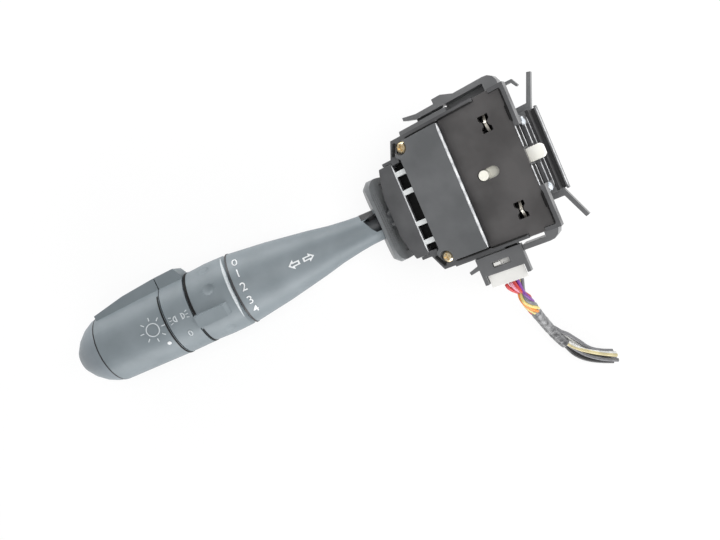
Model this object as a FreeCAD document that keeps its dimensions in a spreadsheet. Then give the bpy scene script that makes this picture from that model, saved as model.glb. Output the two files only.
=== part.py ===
import FreeCAD, Part

import math
import os

import Sketcher

# Combination stalk switch: a lever with two rotary controls on a moulded column housing.
# Housing pieces are drawn in a housing frame: x towards the steering column, y across, z out of
# the cover. Stalk pieces are drawn in a stalk frame whose x axis is the stalk's own axis.
# Both frames meet at the dip pivot. The housing frame leans back against the stalk.

V = FreeCAD.Vector
doc = FreeCAD.newDocument("combination_stalk_switch")
sheet = doc.addObject("Spreadsheet::Sheet", "Sizes")
size_names = []


class Size:
    """A size that carries its number and the sheet formula that gives the same number."""

    def __init__(self, number, formula):
        self.number = float(number)
        self.formula = formula

    def joined(self, other, sign, number, swap=False):
        pair = (formula_of(other), self.formula) if swap else (self.formula, formula_of(other))
        return Size(number, "(%s %s %s)" % (pair[0], sign, pair[1]))

    def __add__(self, other):
        return self.joined(other, "+", self.number + number_of(other))

    def __radd__(self, other):
        return self.joined(other, "+", number_of(other) + self.number, swap=True)

    def __sub__(self, other):
        return self.joined(other, "-", self.number - number_of(other))

    def __rsub__(self, other):
        return self.joined(other, "-", number_of(other) - self.number, swap=True)

    def __mul__(self, other):
        return self.joined(other, "*", self.number * number_of(other))

    def __rmul__(self, other):
        return self.joined(other, "*", number_of(other) * self.number, swap=True)

    def __truediv__(self, other):
        return self.joined(other, "/", self.number / number_of(other))

    def __neg__(self):
        return Size(-self.number, "(0 - %s)" % self.formula)


def number_of(value):
    return value.number if isinstance(value, Size) else float(value)


def formula_of(value):
    return value.formula if isinstance(value, Size) else repr(float(value))


def size(name, number):
    """Put one driving dimension in the sheet."""
    size_names.append(name)
    row = len(size_names)
    sheet.set("A%d" % row, name)
    sheet.set("B%d" % row, str(number))
    sheet.setAlias("B%d" % row, name)
    return Size(number, "Sizes.%s" % name)


def bind(item, prop, value):
    item.setExpression(prop, formula_of(value))


# Clearances
fit_gap = size("fit_gap", 0.05)
seat_gap = size("seat_gap", 0.1)
slide_gap = size("slide_gap", 0.3)
free_gap = size("free_gap", 0.4)

# Stalk
stalk_lean = size("stalk_lean", 32)
neck_start = size("neck_start", 15.6)
neck_radius = size("neck_radius", 6.6)
waist_place = size("waist_place", 27)
waist_radius = size("waist_radius", 7.3)
flare_place = size("flare_place", 43.8)
flare_radius = size("flare_radius", 10.2)
shoulder_place = size("shoulder_place", 62)
shoulder_radius = size("shoulder_radius", 13.3)
stalk_length = size("stalk_length", 63.3)
stalk_end_radius = size("stalk_end_radius", 15.5)
stalk_yaw = size("stalk_yaw", 1.4)
stalk_wall = size("stalk_wall", 1.8)
notch_length = size("notch_length", 5.8)
notch_side = size("notch_side", 2.6)
seam_gap = size("seam_gap", 0.4)
ring_length = size("ring_length", 18.2)
ring_radius = size("ring_radius", 15.8)
ring_edge_drop = size("ring_edge_drop", 0.5)
ring_bevel = size("ring_bevel", 1.2)
collar_length = size("collar_length", 10.1)
collar_radius = size("collar_radius", 15.5)
knob_length = size("knob_length", 29.2)
knob_end_radius = size("knob_end_radius", 14.6)
knob_wall = size("knob_wall", 2.2)
cap_length = size("cap_length", 14.8)
sleeve_radius = size("sleeve_radius", 10.9)
sleeve_wall = size("sleeve_wall", 3.5)
sleeve_seat = size("sleeve_seat", 3.4)
stub_length = size("stub_length", 4.5)
wing_rise = size("wing_rise", 3.3)
wing_near = size("wing_near", 7.6)
wing_far = size("wing_far", 4)
wing_angle = size("wing_angle", 90)
pointer_angle = size("pointer_angle", 18.5)
pointer_width = size("pointer_width", 5.2)
pointer_rise = size("pointer_rise", 1.3)
dimple_radius = size("dimple_radius", 6)
dimple_depth = size("dimple_depth", 0.6)
dimple_step = 36
shaft_radius = size("shaft_radius", 2)
arm_radius = size("arm_radius", 4)
arm_length = size("arm_length", 70)
eye_radius = size("eye_radius", 5)
eye_width = size("eye_width", 10)
dip_pin_radius = size("dip_pin_radius", 2)

# Pivot shroud
shroud_width = size("shroud_width", 36.2)
shroud_height = size("shroud_height", 22)
shroud_corner = size("shroud_corner", 9)
shroud_back = size("shroud_back", 7.6)
shroud_step = size("shroud_step", 0.8)
shroud_bevel = size("shroud_bevel", 2.2)

# Housing outline, from the dip pivot
housing_left = size("housing_left", 4.3)
housing_right = size("housing_right", 55.2)
housing_half = size("housing_half", 27.5)
housing_nose_half = size("housing_nose_half", 20.3)
corner_run = size("corner_run", 3.3)
end_block_half = size("end_block_half", 14.5)
end_set_back = size("end_set_back", 6.6)
rim_height = size("rim_height", 4.5)
rim_top = size("rim_top", 11)
floor_level = size("floor_level", 9)
floor_thick = size("floor_thick", 1.6)
wall = size("wall", 1.5)
cover_left = size("cover_left", 9.6)
cover_right = size("cover_right", 28.1)
cover_half = size("cover_half", 25.3)
cover_top = size("cover_top", 13.5)
cover_seat = size("cover_seat", 9)
cover_skin = size("cover_skin", 1.8)
plate_top = size("plate_top", 10.5)
plate_thick = size("plate_thick", 2)
plate_right = housing_right - size("plate_inset", 1.8)
plate_half = size("plate_half", 25.9)
plate_tab_start = size("plate_tab_start", 43.3)
plate_tab_length = size("plate_tab_length", 6)
screw_place = size("screw_place", 11.1)
screw_half = size("screw_half", 23.1)
screw_head_radius = size("screw_head_radius", 2.25)
screw_head_height = size("screw_head_height", 1.5)
screw_shank_radius = size("screw_shank_radius", 1.25)
screw_length = size("screw_length", 8)
window_place = size("window_place", 44.2)
window_half = size("window_half", 16.9)
window_length = size("window_length", 6.4)
window_width = size("window_width", 4)
slot_start = size("slot_start", 34)
slot_length = size("slot_length", 8.5)
guide_radius = size("guide_radius", 1.95)
pawl_width = size("pawl_width", 5.2)
pawl_thick = size("pawl_thick", 3)
pawl_reach = housing_right + size("pawl_out", 3.9)
end_recess_half = size("end_recess_half", 11.4)
end_recess_depth = size("end_recess_depth", 1.5)
slat_count = 2
slat_top = size("slat_top", 2.3)
slat_pitch = size("slat_pitch", 7)
slat_thick = size("slat_thick", 1.4)
mouth_half = size("mouth_half", 18.5)
comb_inner = size("comb_inner", 6.7)
comb_outer = size("comb_outer", 14.6)

# Hood in front of the housing
hood_half = size("hood_half", 19.6)
hood_reach = size("hood_reach", 4.9)
hood_wall = size("hood_wall", 2)

# Frame with the latch arms
frame_top = size("frame_top", 5)
frame_height = size("frame_height", 7.5)
upper_rail = housing_half + size("upper_rail_out", 4.4)
lower_rail = housing_half + size("lower_rail_out", 2.3)
upper_latch = housing_half + size("upper_latch_out", 7.6)
lower_latch = housing_half + size("lower_latch_out", 5.5)
frame_end_wall = size("frame_end_wall", 1.75)
latch_thick = size("latch_thick", 2.2)
latch_free = size("latch_free", 9.5)
latch_root = housing_right - size("latch_root_back", 10.4)
barb_place = size("barb_place", 24)
barb_rise = size("barb_rise", 2)
shelf_half = size("shelf_half", 16.3)
shelf_depth = size("shelf_depth", 3.6)
shelf_thick = size("shelf_thick", 1.8)
finger_thick = size("finger_thick", 1.5)
finger_height = size("finger_height", 2.6)
finger_tip_x = housing_right + size("finger_tip_out", 6.6)
finger_tip_y = size("finger_tip_y", 29)
ledge_height = size("ledge_height", 1.8)

# Base, socket and plug
base_half = housing_half - size("base_inset", 0.9)
socket_start = size("socket_start", 14.8)
socket_length = size("socket_length", 20)
socket_reach = housing_half + size("socket_out", 10.5)
socket_height = size("socket_height", 12)
socket_top = size("socket_top", 4)
socket_wall = size("socket_wall", 1.6)
socket_ear = size("socket_ear", 3.6)
socket_slant = size("socket_slant", 3.6)
ear_height = size("ear_height", 3)
plug_reach = housing_half + size("plug_out", 16)

# Mechanism inside
turn_pivot = size("turn_pivot", 17)
turn_pin_radius = size("turn_pin_radius", 3)
carrier_half = size("carrier_half", 11.5)
carrier_top = size("carrier_top", 4.6)
carrier_bottom = size("carrier_bottom", 4.2)
carrier_front = size("carrier_front", 3.2)
carrier_tail = size("carrier_tail", 31)
cheek_thick = size("cheek_thick", 3)
plunger_radius = size("plunger_radius", 2)
plunger_reach = size("plunger_reach", 18.3)
slider_lever = size("slider_lever", 8)
slider_half = size("slider_half", 8)
pawl_travel = size("pawl_travel", 4)
detent_pin_radius = size("detent_pin_radius", 1.2)
spring_wire = size("spring_wire", 0.25)
loom_radius = size("loom_radius", 2.5)

# Free route of the wire loom, from the plug to its cut end on the table. Each point is given
# across the table from the dip pivot and up from the table.
loom_route = [
    (26.3, -43.5, 20.5),
    (28.4, -52.4, 18.2),
    (32.7, -60.7, 11.0),
    (37.2, -71.3, 5.0),
    (41.6, -82.6, 2.8),
    (49.6, -92.0, 2.8),
    (59.8, -97.2, 2.8),
]
bend_share = 0.45

lean = math.radians(stalk_lean.number)
# The housing's lower front edge and the largest ring both rest on the table.
rest_height = ring_radius
base_drop = (rest_height + housing_left * math.sin(lean)) / math.cos(lean)
stalk_end = neck_start + stalk_length
ring_start = stalk_end + seam_gap
ring_end = ring_start + ring_length
collar_start = ring_end + seam_gap
collar_end = collar_start + collar_length
knob_start = collar_end + seam_gap
knob_end = knob_start + knob_length
tip_reach = knob_end + cap_length
slider_left = turn_pivot + slider_lever - 3
slider_right = turn_pivot + slider_lever + 4.6
light_detent = collar_end + stub_length / 2
frame_right = housing_right - end_set_back + frame_end_wall
ring_detent = ring_start + ring_length / 2
plate_bottom = plate_top - plate_thick
pawl_spring_y = pawl_width / 2 + 1.9
chamber_bottom = floor_level - floor_thick
frame_bottom = frame_top + frame_height
undercut_top = rim_top - rim_height
end_wall = housing_right - end_set_back
socket_bottom = socket_top + socket_height

nodes = {}
cord_names = ("connector_plug", "wire_loom")


# Drawing helpers

def new_body(name):
    body = doc.addObject("PartDesign::Body", name)
    body.Label = name
    return body


def origin_item(body, role):
    for item in body.Origin.OriginFeatures:
        if item.Role == role:
            return item


def new_sketch(body, role, level=0.0):
    count = len([item for item in body.Group if item.isDerivedFrom("Sketcher::SketchObject")])
    sketch = body.newObject("Sketcher::SketchObject", "%s_outline_%d" % (body.Name, count + 1))
    sketch.AttachmentSupport = (origin_item(body, role), [""])
    sketch.MapMode = "FlatFace"
    bind(sketch, "AttachmentOffset.Base.z", level)
    return sketch


def hold(sketch, kind, *spot):
    """Add one constraint and bind it to its size."""
    value = spot[-1]
    index = sketch.addConstraint(Sketcher.Constraint(kind, *spot[:-1], number_of(value)))
    if isinstance(value, Size):
        sketch.setExpression("Constraints[%d]" % index, value.formula)


def polygon(sketch, corners):
    """Closed outline through the corners, each held from the sketch's own axes."""
    spots = [V(number_of(x), number_of(y), 0) for x, y in corners]
    first = sketch.GeometryCount
    total = len(spots)
    for i in range(total):
        sketch.addGeometry(Part.LineSegment(spots[i], spots[(i + 1) % total]), False)
    for i in range(total):
        joint = Sketcher.Constraint("Coincident", first + i, 2, first + (i + 1) % total, 1)
        sketch.addConstraint(joint)
    for i, (x, y) in enumerate(corners):
        hold(sketch, "DistanceX", -1, 1, first + i, 1, x)
        hold(sketch, "DistanceY", -1, 1, first + i, 1, y)


def rectangle(sketch, x0, x1, y0, y1):
    polygon(sketch, [(x0, y0), (x1, y0), (x1, y1), (x0, y1)])


def circle(sketch, x, y, radius):
    spot = V(number_of(x), number_of(y), 0)
    index = sketch.addGeometry(Part.Circle(spot, V(0, 0, 1), number_of(radius)), False)
    hold(sketch, "DistanceX", -1, 1, index, 3, x)
    hold(sketch, "DistanceY", -1, 1, index, 3, y)
    hold(sketch, "Radius", index, radius)


def slot_outline(sketch, x0, x1, y, radius):
    """Round-ended slot along x; x0 and x1 are the centres of its ends."""
    left, right = number_of(x0), number_of(x1)
    level, reach = number_of(y), number_of(radius)
    quarter = math.pi / 2
    axis = V(0, 0, 1)
    ends = Part.Circle(V(left, level, 0), axis, reach), Part.Circle(V(right, level, 0), axis, reach)
    a = sketch.addGeometry(Part.ArcOfCircle(ends[0], quarter, 3 * quarter), False)
    b = sketch.addGeometry(Part.ArcOfCircle(ends[1], -quarter, quarter), False)
    low = Part.LineSegment(V(left, level - reach, 0), V(right, level - reach, 0))
    high = Part.LineSegment(V(left, level + reach, 0), V(right, level + reach, 0))
    c = sketch.addGeometry(low, False)
    d = sketch.addGeometry(high, False)
    sketch.addConstraint(Sketcher.Constraint("Tangent", a, 2, c, 1))
    sketch.addConstraint(Sketcher.Constraint("Tangent", c, 2, b, 1))
    sketch.addConstraint(Sketcher.Constraint("Tangent", b, 2, d, 2))
    sketch.addConstraint(Sketcher.Constraint("Tangent", d, 1, a, 1))
    sketch.addConstraint(Sketcher.Constraint("Equal", a, b))
    hold(sketch, "DistanceX", -1, 1, a, 3, x0)
    hold(sketch, "DistanceY", -1, 1, a, 3, y)
    hold(sketch, "DistanceX", -1, 1, b, 3, x1)
    hold(sketch, "Radius", a, radius)


def pad(body, sketch, length, down=False):
    feature = body.newObject("PartDesign::Pad", "%s_pad" % body.Name)
    feature.Profile = sketch
    bind(feature, "Length", length)
    feature.Reversed = down
    return feature


def pocket(body, sketch, depth, up=False):
    feature = body.newObject("PartDesign::Pocket", "%s_pocket" % body.Name)
    feature.Profile = sketch
    bind(feature, "Length", depth)
    feature.Reversed = up
    return feature


def turned(body, kind, stations, inner=0.0):
    """Shape turned about the stalk's axis through (place along the stalk, radius) stations."""
    profile = new_sketch(body, "XZ_Plane")
    outer = [(-place, radius) for place, radius in stations]
    polygon(profile, outer + [(-stations[-1][0], inner), (-stations[0][0], inner)])
    feature = body.newObject("PartDesign::%s" % kind, "%s_turned" % body.Name)
    feature.Profile = profile
    feature.ReferenceAxis = (origin_item(body, "X_Axis"), [""])
    feature.Angle = 360
    return feature


def dress(body, kind, test, amount):
    """Fillet or chamfer the edges of the body's last feature that pass the test."""
    doc.recompute()
    base = body.Tip
    names = ["Edge%d" % (i + 1) for i, edge in enumerate(base.Shape.Edges) if test(edge)]
    feature = body.newObject("PartDesign::%s" % kind, "%s_%s" % (body.Name, kind.lower()))
    feature.Base = (base, names)
    bind(feature, "Radius" if kind == "Fillet" else "Size", amount)
    return feature


def upright(edge):
    ends = edge.Vertexes
    if len(ends) < 2 or edge.Curve.TypeId != "Part::GeomLine":
        return False
    run = ends[1].Point - ends[0].Point
    return abs(run.x) < 1e-6 and abs(run.y) < 1e-6


def box(name, x0, x1, y0, y1, z0, z1):
    item = doc.addObject("Part::Box", name)
    for prop, low, high in (("Length", x0, x1), ("Width", y0, y1), ("Height", z0, z1)):
        bind(item, prop, high - low if isinstance(high, Size) else -(low - high))
    for prop, low in (("x", x0), ("y", y0), ("z", z0)):
        bind(item, "Placement.Base." + prop, low)
    return item


directions = {"x": FreeCAD.Rotation(V(0, 1, 0), 90), "y": FreeCAD.Rotation(V(1, 0, 0), -90),
              "z": FreeCAD.Rotation()}


def turn_about_z(angle):
    return FreeCAD.Rotation(V(0, 0, 1), angle)


def aim(item, spot, axis):
    item.Placement = FreeCAD.Placement(V(0, 0, 0), directions[axis])
    for prop, value in zip(("x", "y", "z"), spot):
        bind(item, "Placement.Base." + prop, value)


def rod(name, spot, axis, radius, length):
    """Cylinder from a spot along an axis."""
    item = doc.addObject("Part::Cylinder", name)
    aim(item, spot, axis)
    bind(item, "Radius", radius)
    bind(item, "Height", length)
    return item


def taper(name, spot, axis, start_radius, end_radius, length):
    item = doc.addObject("Part::Cone", name)
    aim(item, spot, axis)
    bind(item, "Radius1", start_radius)
    bind(item, "Radius2", end_radius)
    bind(item, "Height", length)
    return item


def ball(name, spot, radius):
    item = doc.addObject("Part::Sphere", name)
    aim(item, spot, "z")
    bind(item, "Radius", radius)
    return item


def groove(body, place, length, radius):
    """Cut an inner ring groove, centred on a place along the stalk."""
    return turned(body, "Groove", [(place - length / 2, radius), (place + length / 2, radius)],
                  sleeve_radius - 1)


def fuse(name, items):
    item = doc.addObject("Part::MultiFuse", name)
    item.Shapes = items
    item.Refine = True
    return item


def cut(name, base, tool):
    item = doc.addObject("Part::Cut", name)
    item.Base = base
    item.Tool = tool
    return item


def group(name, items):
    item = doc.addObject("Part::Compound", name)
    item.Links = items
    return item


def coil(name, spot, axis, radius, wire, pitch, length):
    """Plain stand-in for a coil spring: a turned sleeve with one ridge for each turn."""
    body = new_body(name)
    turns_of_wire = max(2, round(number_of(length) / number_of(pitch)))
    step = length / turns_of_wire
    outer, inner = [(radius, 0.0)], [(radius - wire, 0.0)]
    for i in range(turns_of_wire):
        outer += [(radius + wire, step * (i + 0.5)), (radius, step * (i + 1))]
        inner += [(radius, step * (i + 0.5)), (radius - wire, step * (i + 1))]
    profile = new_sketch(body, "XZ_Plane")
    polygon(profile, outer + inner[::-1])
    feature = body.newObject("PartDesign::Revolution", "%s_turned" % name)
    feature.Profile = profile
    feature.ReferenceAxis = (origin_item(body, "Z_Axis"), [""])
    feature.Angle = 360
    aim(body, spot, axis)
    return body


def keep(name, item, frame):
    """Name a finished piece and say which frame it is drawn in."""
    item.Label = name
    nodes[name] = (item, frame)


# Stalk pieces

def stalk_body():
    body = new_body("stalk_body")
    outer = [(neck_start, neck_radius), (neck_start + (waist_place - neck_start) / 2,
                                         neck_radius + (waist_radius - neck_radius) / 4),
             (waist_place, waist_radius),
             (waist_place + (flare_place - waist_place) / 2,
              waist_radius + (flare_radius - waist_radius) * 0.4),
             (flare_place, flare_radius), (shoulder_place, shoulder_radius),
             (stalk_end, stalk_end_radius)]
    turned(body, "Revolution", outer)
    hollow_start = shoulder_place - (shoulder_place - flare_place) / 2
    inner = [(hollow_start, arm_radius + stalk_wall),
             (shoulder_place, shoulder_radius - stalk_wall),
             (stalk_end - sleeve_seat, stalk_end_radius - stalk_wall)]
    turned(body, "Groove", inner)
    bore = new_sketch(body, "YZ_Plane", -hollow_start - 1)
    circle(bore, 0, 0, arm_radius + fit_gap)
    pocket(body, bore, hollow_start - neck_start + 2, up=True)
    seat = new_sketch(body, "YZ_Plane", -stalk_end)
    circle(seat, 0, 0, sleeve_radius + fit_gap)
    pocket(body, seat, sleeve_seat, up=True)
    # The neck is cut open on top, where the darker arm shows.
    notch = new_sketch(body, "XY_Plane", neck_radius + 1)
    notch_end = -neck_start - notch_length
    polygon(notch, [(notch_end, arm_radius - 0.4), (notch_end + notch_length / 3, -0.6),
                    (notch_end + notch_length * 0.6, -notch_side), (1 - neck_start, -notch_side),
                    (1 - neck_start, arm_radius + 1)])
    pocket(body, notch, neck_radius + 1)
    keep("stalk_body", body, "stalk")


def lever_arm():
    """Tube on a pivot eye; the eye stays square to the dip pin while the tube leaves at the yaw."""
    arm = rod("arm_tube", (-arm_length, 0, 0), "x", arm_radius, arm_length)
    eye = rod("arm_eye", (0, -eye_width / 2, 0), "y", eye_radius, eye_width)
    pin_hole = rod("arm_pin_hole", (0, -eye_width, 0), "y", dip_pin_radius + fit_gap, eye_width * 2)
    square_eye = group("arm_square_eye", [eye])
    square_hole = group("arm_square_hole", [pin_hole])
    for item in (square_eye, square_hole):
        item.Placement = FreeCAD.Placement(V(0, 0, 0), turn_about_z(-stalk_yaw.number))
    solid = fuse("arm_solid", [arm, square_eye])
    bore = rod("arm_bore", (-arm_length - 1, 0, 0), "x", shaft_radius + seat_gap,
               arm_length - eye_radius)
    holes = fuse("arm_holes", [square_hole, bore])
    keep("lever_arm", cut("lever_arm", solid, holes), "stalk")


def pivot_shroud():
    """Rounded shroud round the neck; its back is cut parallel to the hood."""
    body = new_body("pivot_shroud_block")
    face = new_sketch(body, "YZ_Plane", -neck_start)
    rectangle(face, -shroud_width / 2, shroud_width / 2, -shroud_height / 2 - 1,
              shroud_height / 2 - 1)
    pad(body, face, neck_start + 2)
    dress(body, "Fillet", lambda edge: abs(edge.Vertexes[0].X - edge.Vertexes[-1].X) > 1,
          shroud_corner)
    front = -neck_start.number
    dress(body, "Chamfer", lambda edge: all(abs(v.X - front) < 1e-6 for v in edge.Vertexes),
          shroud_bevel)
    step = new_sketch(body, "YZ_Plane", -neck_start)
    circle(step, 0, 0, neck_radius + free_gap)
    pocket(body, step, 1.2, up=True)
    bore = new_sketch(body, "YZ_Plane", -neck_start)
    circle(bore, 0, 0, arm_radius + fit_gap)
    pocket(body, bore, neck_start + 2, up=True)
    back = doc.addObject("Part::Box", "pivot_shroud_back")
    for prop in ("Length", "Width", "Height"):
        bind(back, prop, shroud_width * 2)
    lean_back = FreeCAD.Rotation(V(0, -1, 0), stalk_lean.number)
    turn = turn_about_z(-stalk_yaw.number).multiply(lean_back)
    corner = turn.multVec(V(-shroud_back.number, -shroud_width.number, -shroud_width.number))
    back.Placement = FreeCAD.Placement(corner, turn)
    # Two nested shallow steps in the slanted back
    tools = [back]
    for depth, half, low, high in ((1, 15.2, -7, 5.2), (2, 13.6, -5.8, 2.9)):
        step = doc.addObject("Part::Box", "pivot_shroud_step_%d" % depth)
        bind(step, "Length", shroud_step * depth + 1)
        step.Width = half * 2
        step.Height = high - low
        corner = turn.multVec(V(-shroud_back.number - shroud_step.number * depth, -half, low))
        step.Placement = FreeCAD.Placement(corner, turn)
        tools.append(step)
    keep("pivot_shroud", cut("pivot_shroud", body, fuse("pivot_shroud_tools", tools)), "stalk")


def wing(name, angle, near, far, side):
    """Raised grip at an angle round the stalk, from its side outline, as wide as near plus far."""
    body = new_body(name)
    outline = new_sketch(body, "XZ_Plane", -far)
    polygon(outline, [(-place, reach) for place, reach in side])
    pad(body, outline, near + far)
    body.Placement = FreeCAD.Placement(V(0, 0, 0), FreeCAD.Rotation(V(1, 0, 0), -number_of(angle)))
    return body


def levelling_ring():
    solid = new_body("ring_band")
    edge_radius = ring_radius - ring_edge_drop
    turned(solid, "Revolution", [(ring_start, edge_radius - ring_bevel * 0.6),
                                 (ring_start + ring_bevel, edge_radius + ring_edge_drop / 2),
                                 (ring_start + ring_length / 2, ring_radius),
                                 (ring_end, edge_radius)])
    bore = new_sketch(solid, "YZ_Plane", -ring_end)
    circle(bore, 0, 0, sleeve_radius + fit_gap)
    pocket(solid, bore, ring_length, up=True)
    groove(solid, ring_detent, detent_pin_radius * 2.4, sleeve_radius + detent_pin_radius * 0.7)
    track_bed = new_sketch(solid, "YZ_Plane", -ring_start)
    circle(track_bed, 0, 0, stalk_end_radius - stalk_wall)
    pocket(solid, track_bed, 1.4)
    foot, top = sleeve_radius + 2, ring_radius + pointer_rise
    tip = ring_start + ring_length / 4
    pointer = wing("ring_pointer", -pointer_angle, pointer_width / 2, pointer_width / 2,
                   [(tip, foot), (tip, ring_radius), (tip + 1.4, top), (ring_end, top),
                    (ring_end, foot)])
    ring = fuse("ring_with_pointer", [solid, pointer])
    # Nine finger dips share the ring with the pointer, a tenth of a turn apart.
    dips = []
    for i in range(9):
        angle = math.radians(dimple_step * (i + 1) - pointer_angle.number)
        reach = (ring_radius + dimple_radius - dimple_depth).number
        spot = (-ring_start - ring_length * 0.48, reach * math.sin(angle), reach * math.cos(angle))
        dips.append(ball("ring_dimple_%d" % (i + 1), spot, dimple_radius))
    keep("levelling_ring", cut("levelling_ring", ring, fuse("ring_dimples", dips)), "stalk")


def index_collar():
    body = new_body("collar_band")
    disc = new_sketch(body, "YZ_Plane", -collar_end)
    circle(disc, 0, 0, collar_radius)
    pad(body, disc, collar_length)
    sleeve = new_sketch(body, "YZ_Plane", -collar_start)
    circle(sleeve, 0, 0, sleeve_radius)
    pad(body, sleeve, collar_start - stalk_end + sleeve_seat)
    stub = new_sketch(body, "YZ_Plane", -collar_end - stub_length)
    circle(stub, 0, 0, sleeve_radius)
    pad(body, stub, stub_length)
    bore = new_sketch(body, "YZ_Plane", -collar_end - stub_length)
    circle(bore, 0, 0, sleeve_radius - sleeve_wall)
    pocket(body, bore, tip_reach, up=True)
    for place, up in ((light_detent, True), (ring_detent, False)):
        hole = new_sketch(body, "XY_Plane")
        circle(hole, -place, 0, detent_pin_radius + fit_gap)
        pocket(body, hole, sleeve_radius + 0.2, up=up)
        sleeve_core = new_sketch(body, "XY_Plane")
        circle(sleeve_core, -place, 0, detent_pin_radius + 1)
        pad(body, sleeve_core, sleeve_radius - sleeve_wall + 0.8, down=not up)
        core_bore = new_sketch(body, "YZ_Plane", -place - 4)
        circle(core_bore, 0, 0, sleeve_radius - sleeve_wall)
        pocket(body, core_bore, 8, up=True)
    foot, top = sleeve_radius + 1, collar_radius + wing_rise
    grip = wing("collar_wing", wing_angle, wing_near, wing_far,
                [(collar_start, foot), (collar_start, collar_radius), (collar_start + 1.8, top),
                 (collar_end, top - 0.3), (collar_end, foot)])
    keep("index_collar", fuse("index_collar", [body, grip]), "stalk")


def light_knob():
    body = new_body("knob_band")
    turned(body, "Revolution", [(knob_start, collar_radius), (knob_end, knob_end_radius)])
    stub_bore = new_sketch(body, "YZ_Plane", -knob_start)
    circle(stub_bore, 0, 0, sleeve_radius + fit_gap)
    pocket(body, stub_bore, knob_length - knob_wall)
    groove(body, light_detent, detent_pin_radius * 2.4, sleeve_radius + detent_pin_radius * 0.7)
    hub = new_sketch(body, "YZ_Plane", -knob_end + knob_wall)
    circle(hub, 0, 0, shaft_radius * 2)
    pad(body, hub, knob_wall * 3)
    shaft_bore = new_sketch(body, "YZ_Plane", -knob_end + knob_wall)
    circle(shaft_bore, 0, 0, shaft_radius)
    pocket(body, shaft_bore, knob_wall * 4, up=True)
    foot, top = sleeve_radius + 1, collar_radius + wing_rise - 0.3
    middle = knob_start + knob_length / 2
    grip = wing("knob_wing", wing_angle, wing_near, wing_far,
                [(knob_start, foot), (knob_start, top), (middle, top - 1.3),
                 (knob_end - 1, knob_end_radius), (knob_end - 1, foot)])
    keep("light_knob", fuse("light_knob", [body, grip]), "stalk")


def knob_end_cap():
    """Blunt pointed end cap."""
    body = new_body("knob_end_cap")
    rim = knob_end_radius - 0.2
    stations = [(knob_end + fit_gap, rim), (knob_end + cap_length * 0.2, rim * 0.95),
                (knob_end + cap_length * 0.43, rim * 0.83), (knob_end + cap_length * 0.66, rim * 0.64),
                (knob_end + cap_length * 0.86, rim * 0.4), (knob_end + cap_length, rim * 0.1)]
    turned(body, "Revolution", stations)
    keep("knob_end_cap", body, "stalk")


def stalk_inner_pieces():
    shaft_start = arm_length - 6
    shaft = rod("light_shaft_rod", (-knob_end + knob_wall + fit_gap, 0, 0), "x",
                shaft_radius, knob_end - knob_wall - shaft_start)
    keep("light_shaft", group("light_shaft", [shaft]), "stalk")

    board_place = stalk_end - sleeve_seat
    board = rod("light_board_disc", (-board_place, 0, 0), "x", sleeve_radius, 1.2)
    hole = rod("light_board_hole", (-board_place - 1, 0, 0), "x", shaft_radius + free_gap, 4)
    keep("light_contact_board", cut("light_contact_board", board, hole), "stalk")

    rotor = rod("light_rotor_disc", (-board_place + 1.6, 0, 0), "x", sleeve_radius - 3, 1.5)
    eye = rod("light_rotor_eye", (-board_place + 1, 0, 0), "x", shaft_radius, 4)
    keep("light_contact_rotor", cut("light_contact_rotor", rotor, eye), "stalk")

    clip_place = arm_length + slide_gap + 0.6
    clip = rod("clip_disc", (-clip_place, 0, 0), "x", shaft_radius * 2, 0.6)
    clip_eye = rod("clip_eye", (-clip_place - 1, 0, 0), "x", shaft_radius, 3)
    keep("shaft_clip", cut("shaft_clip", clip, clip_eye), "stalk")

    lead = rod("stalk_lead_rod", (-shaft_start + 2, 0, 0), "x", shaft_radius - free_gap,
               shaft_start - 2 - eye_radius * 2)
    keep("stalk_lead", group("stalk_lead", [lead]), "stalk")


# Housing pieces

def nose_outline(sketch, grow):
    """The housing's outline with its two cut front corners, grown by an amount."""
    left, right = housing_left - grow, housing_right + grow
    half, nose = housing_half + grow, housing_nose_half + grow / 2
    polygon(sketch, [(left, -nose), (left + corner_run, -half), (right, -half), (right, half),
                     (left + corner_run, half), (left, nose)])


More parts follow.
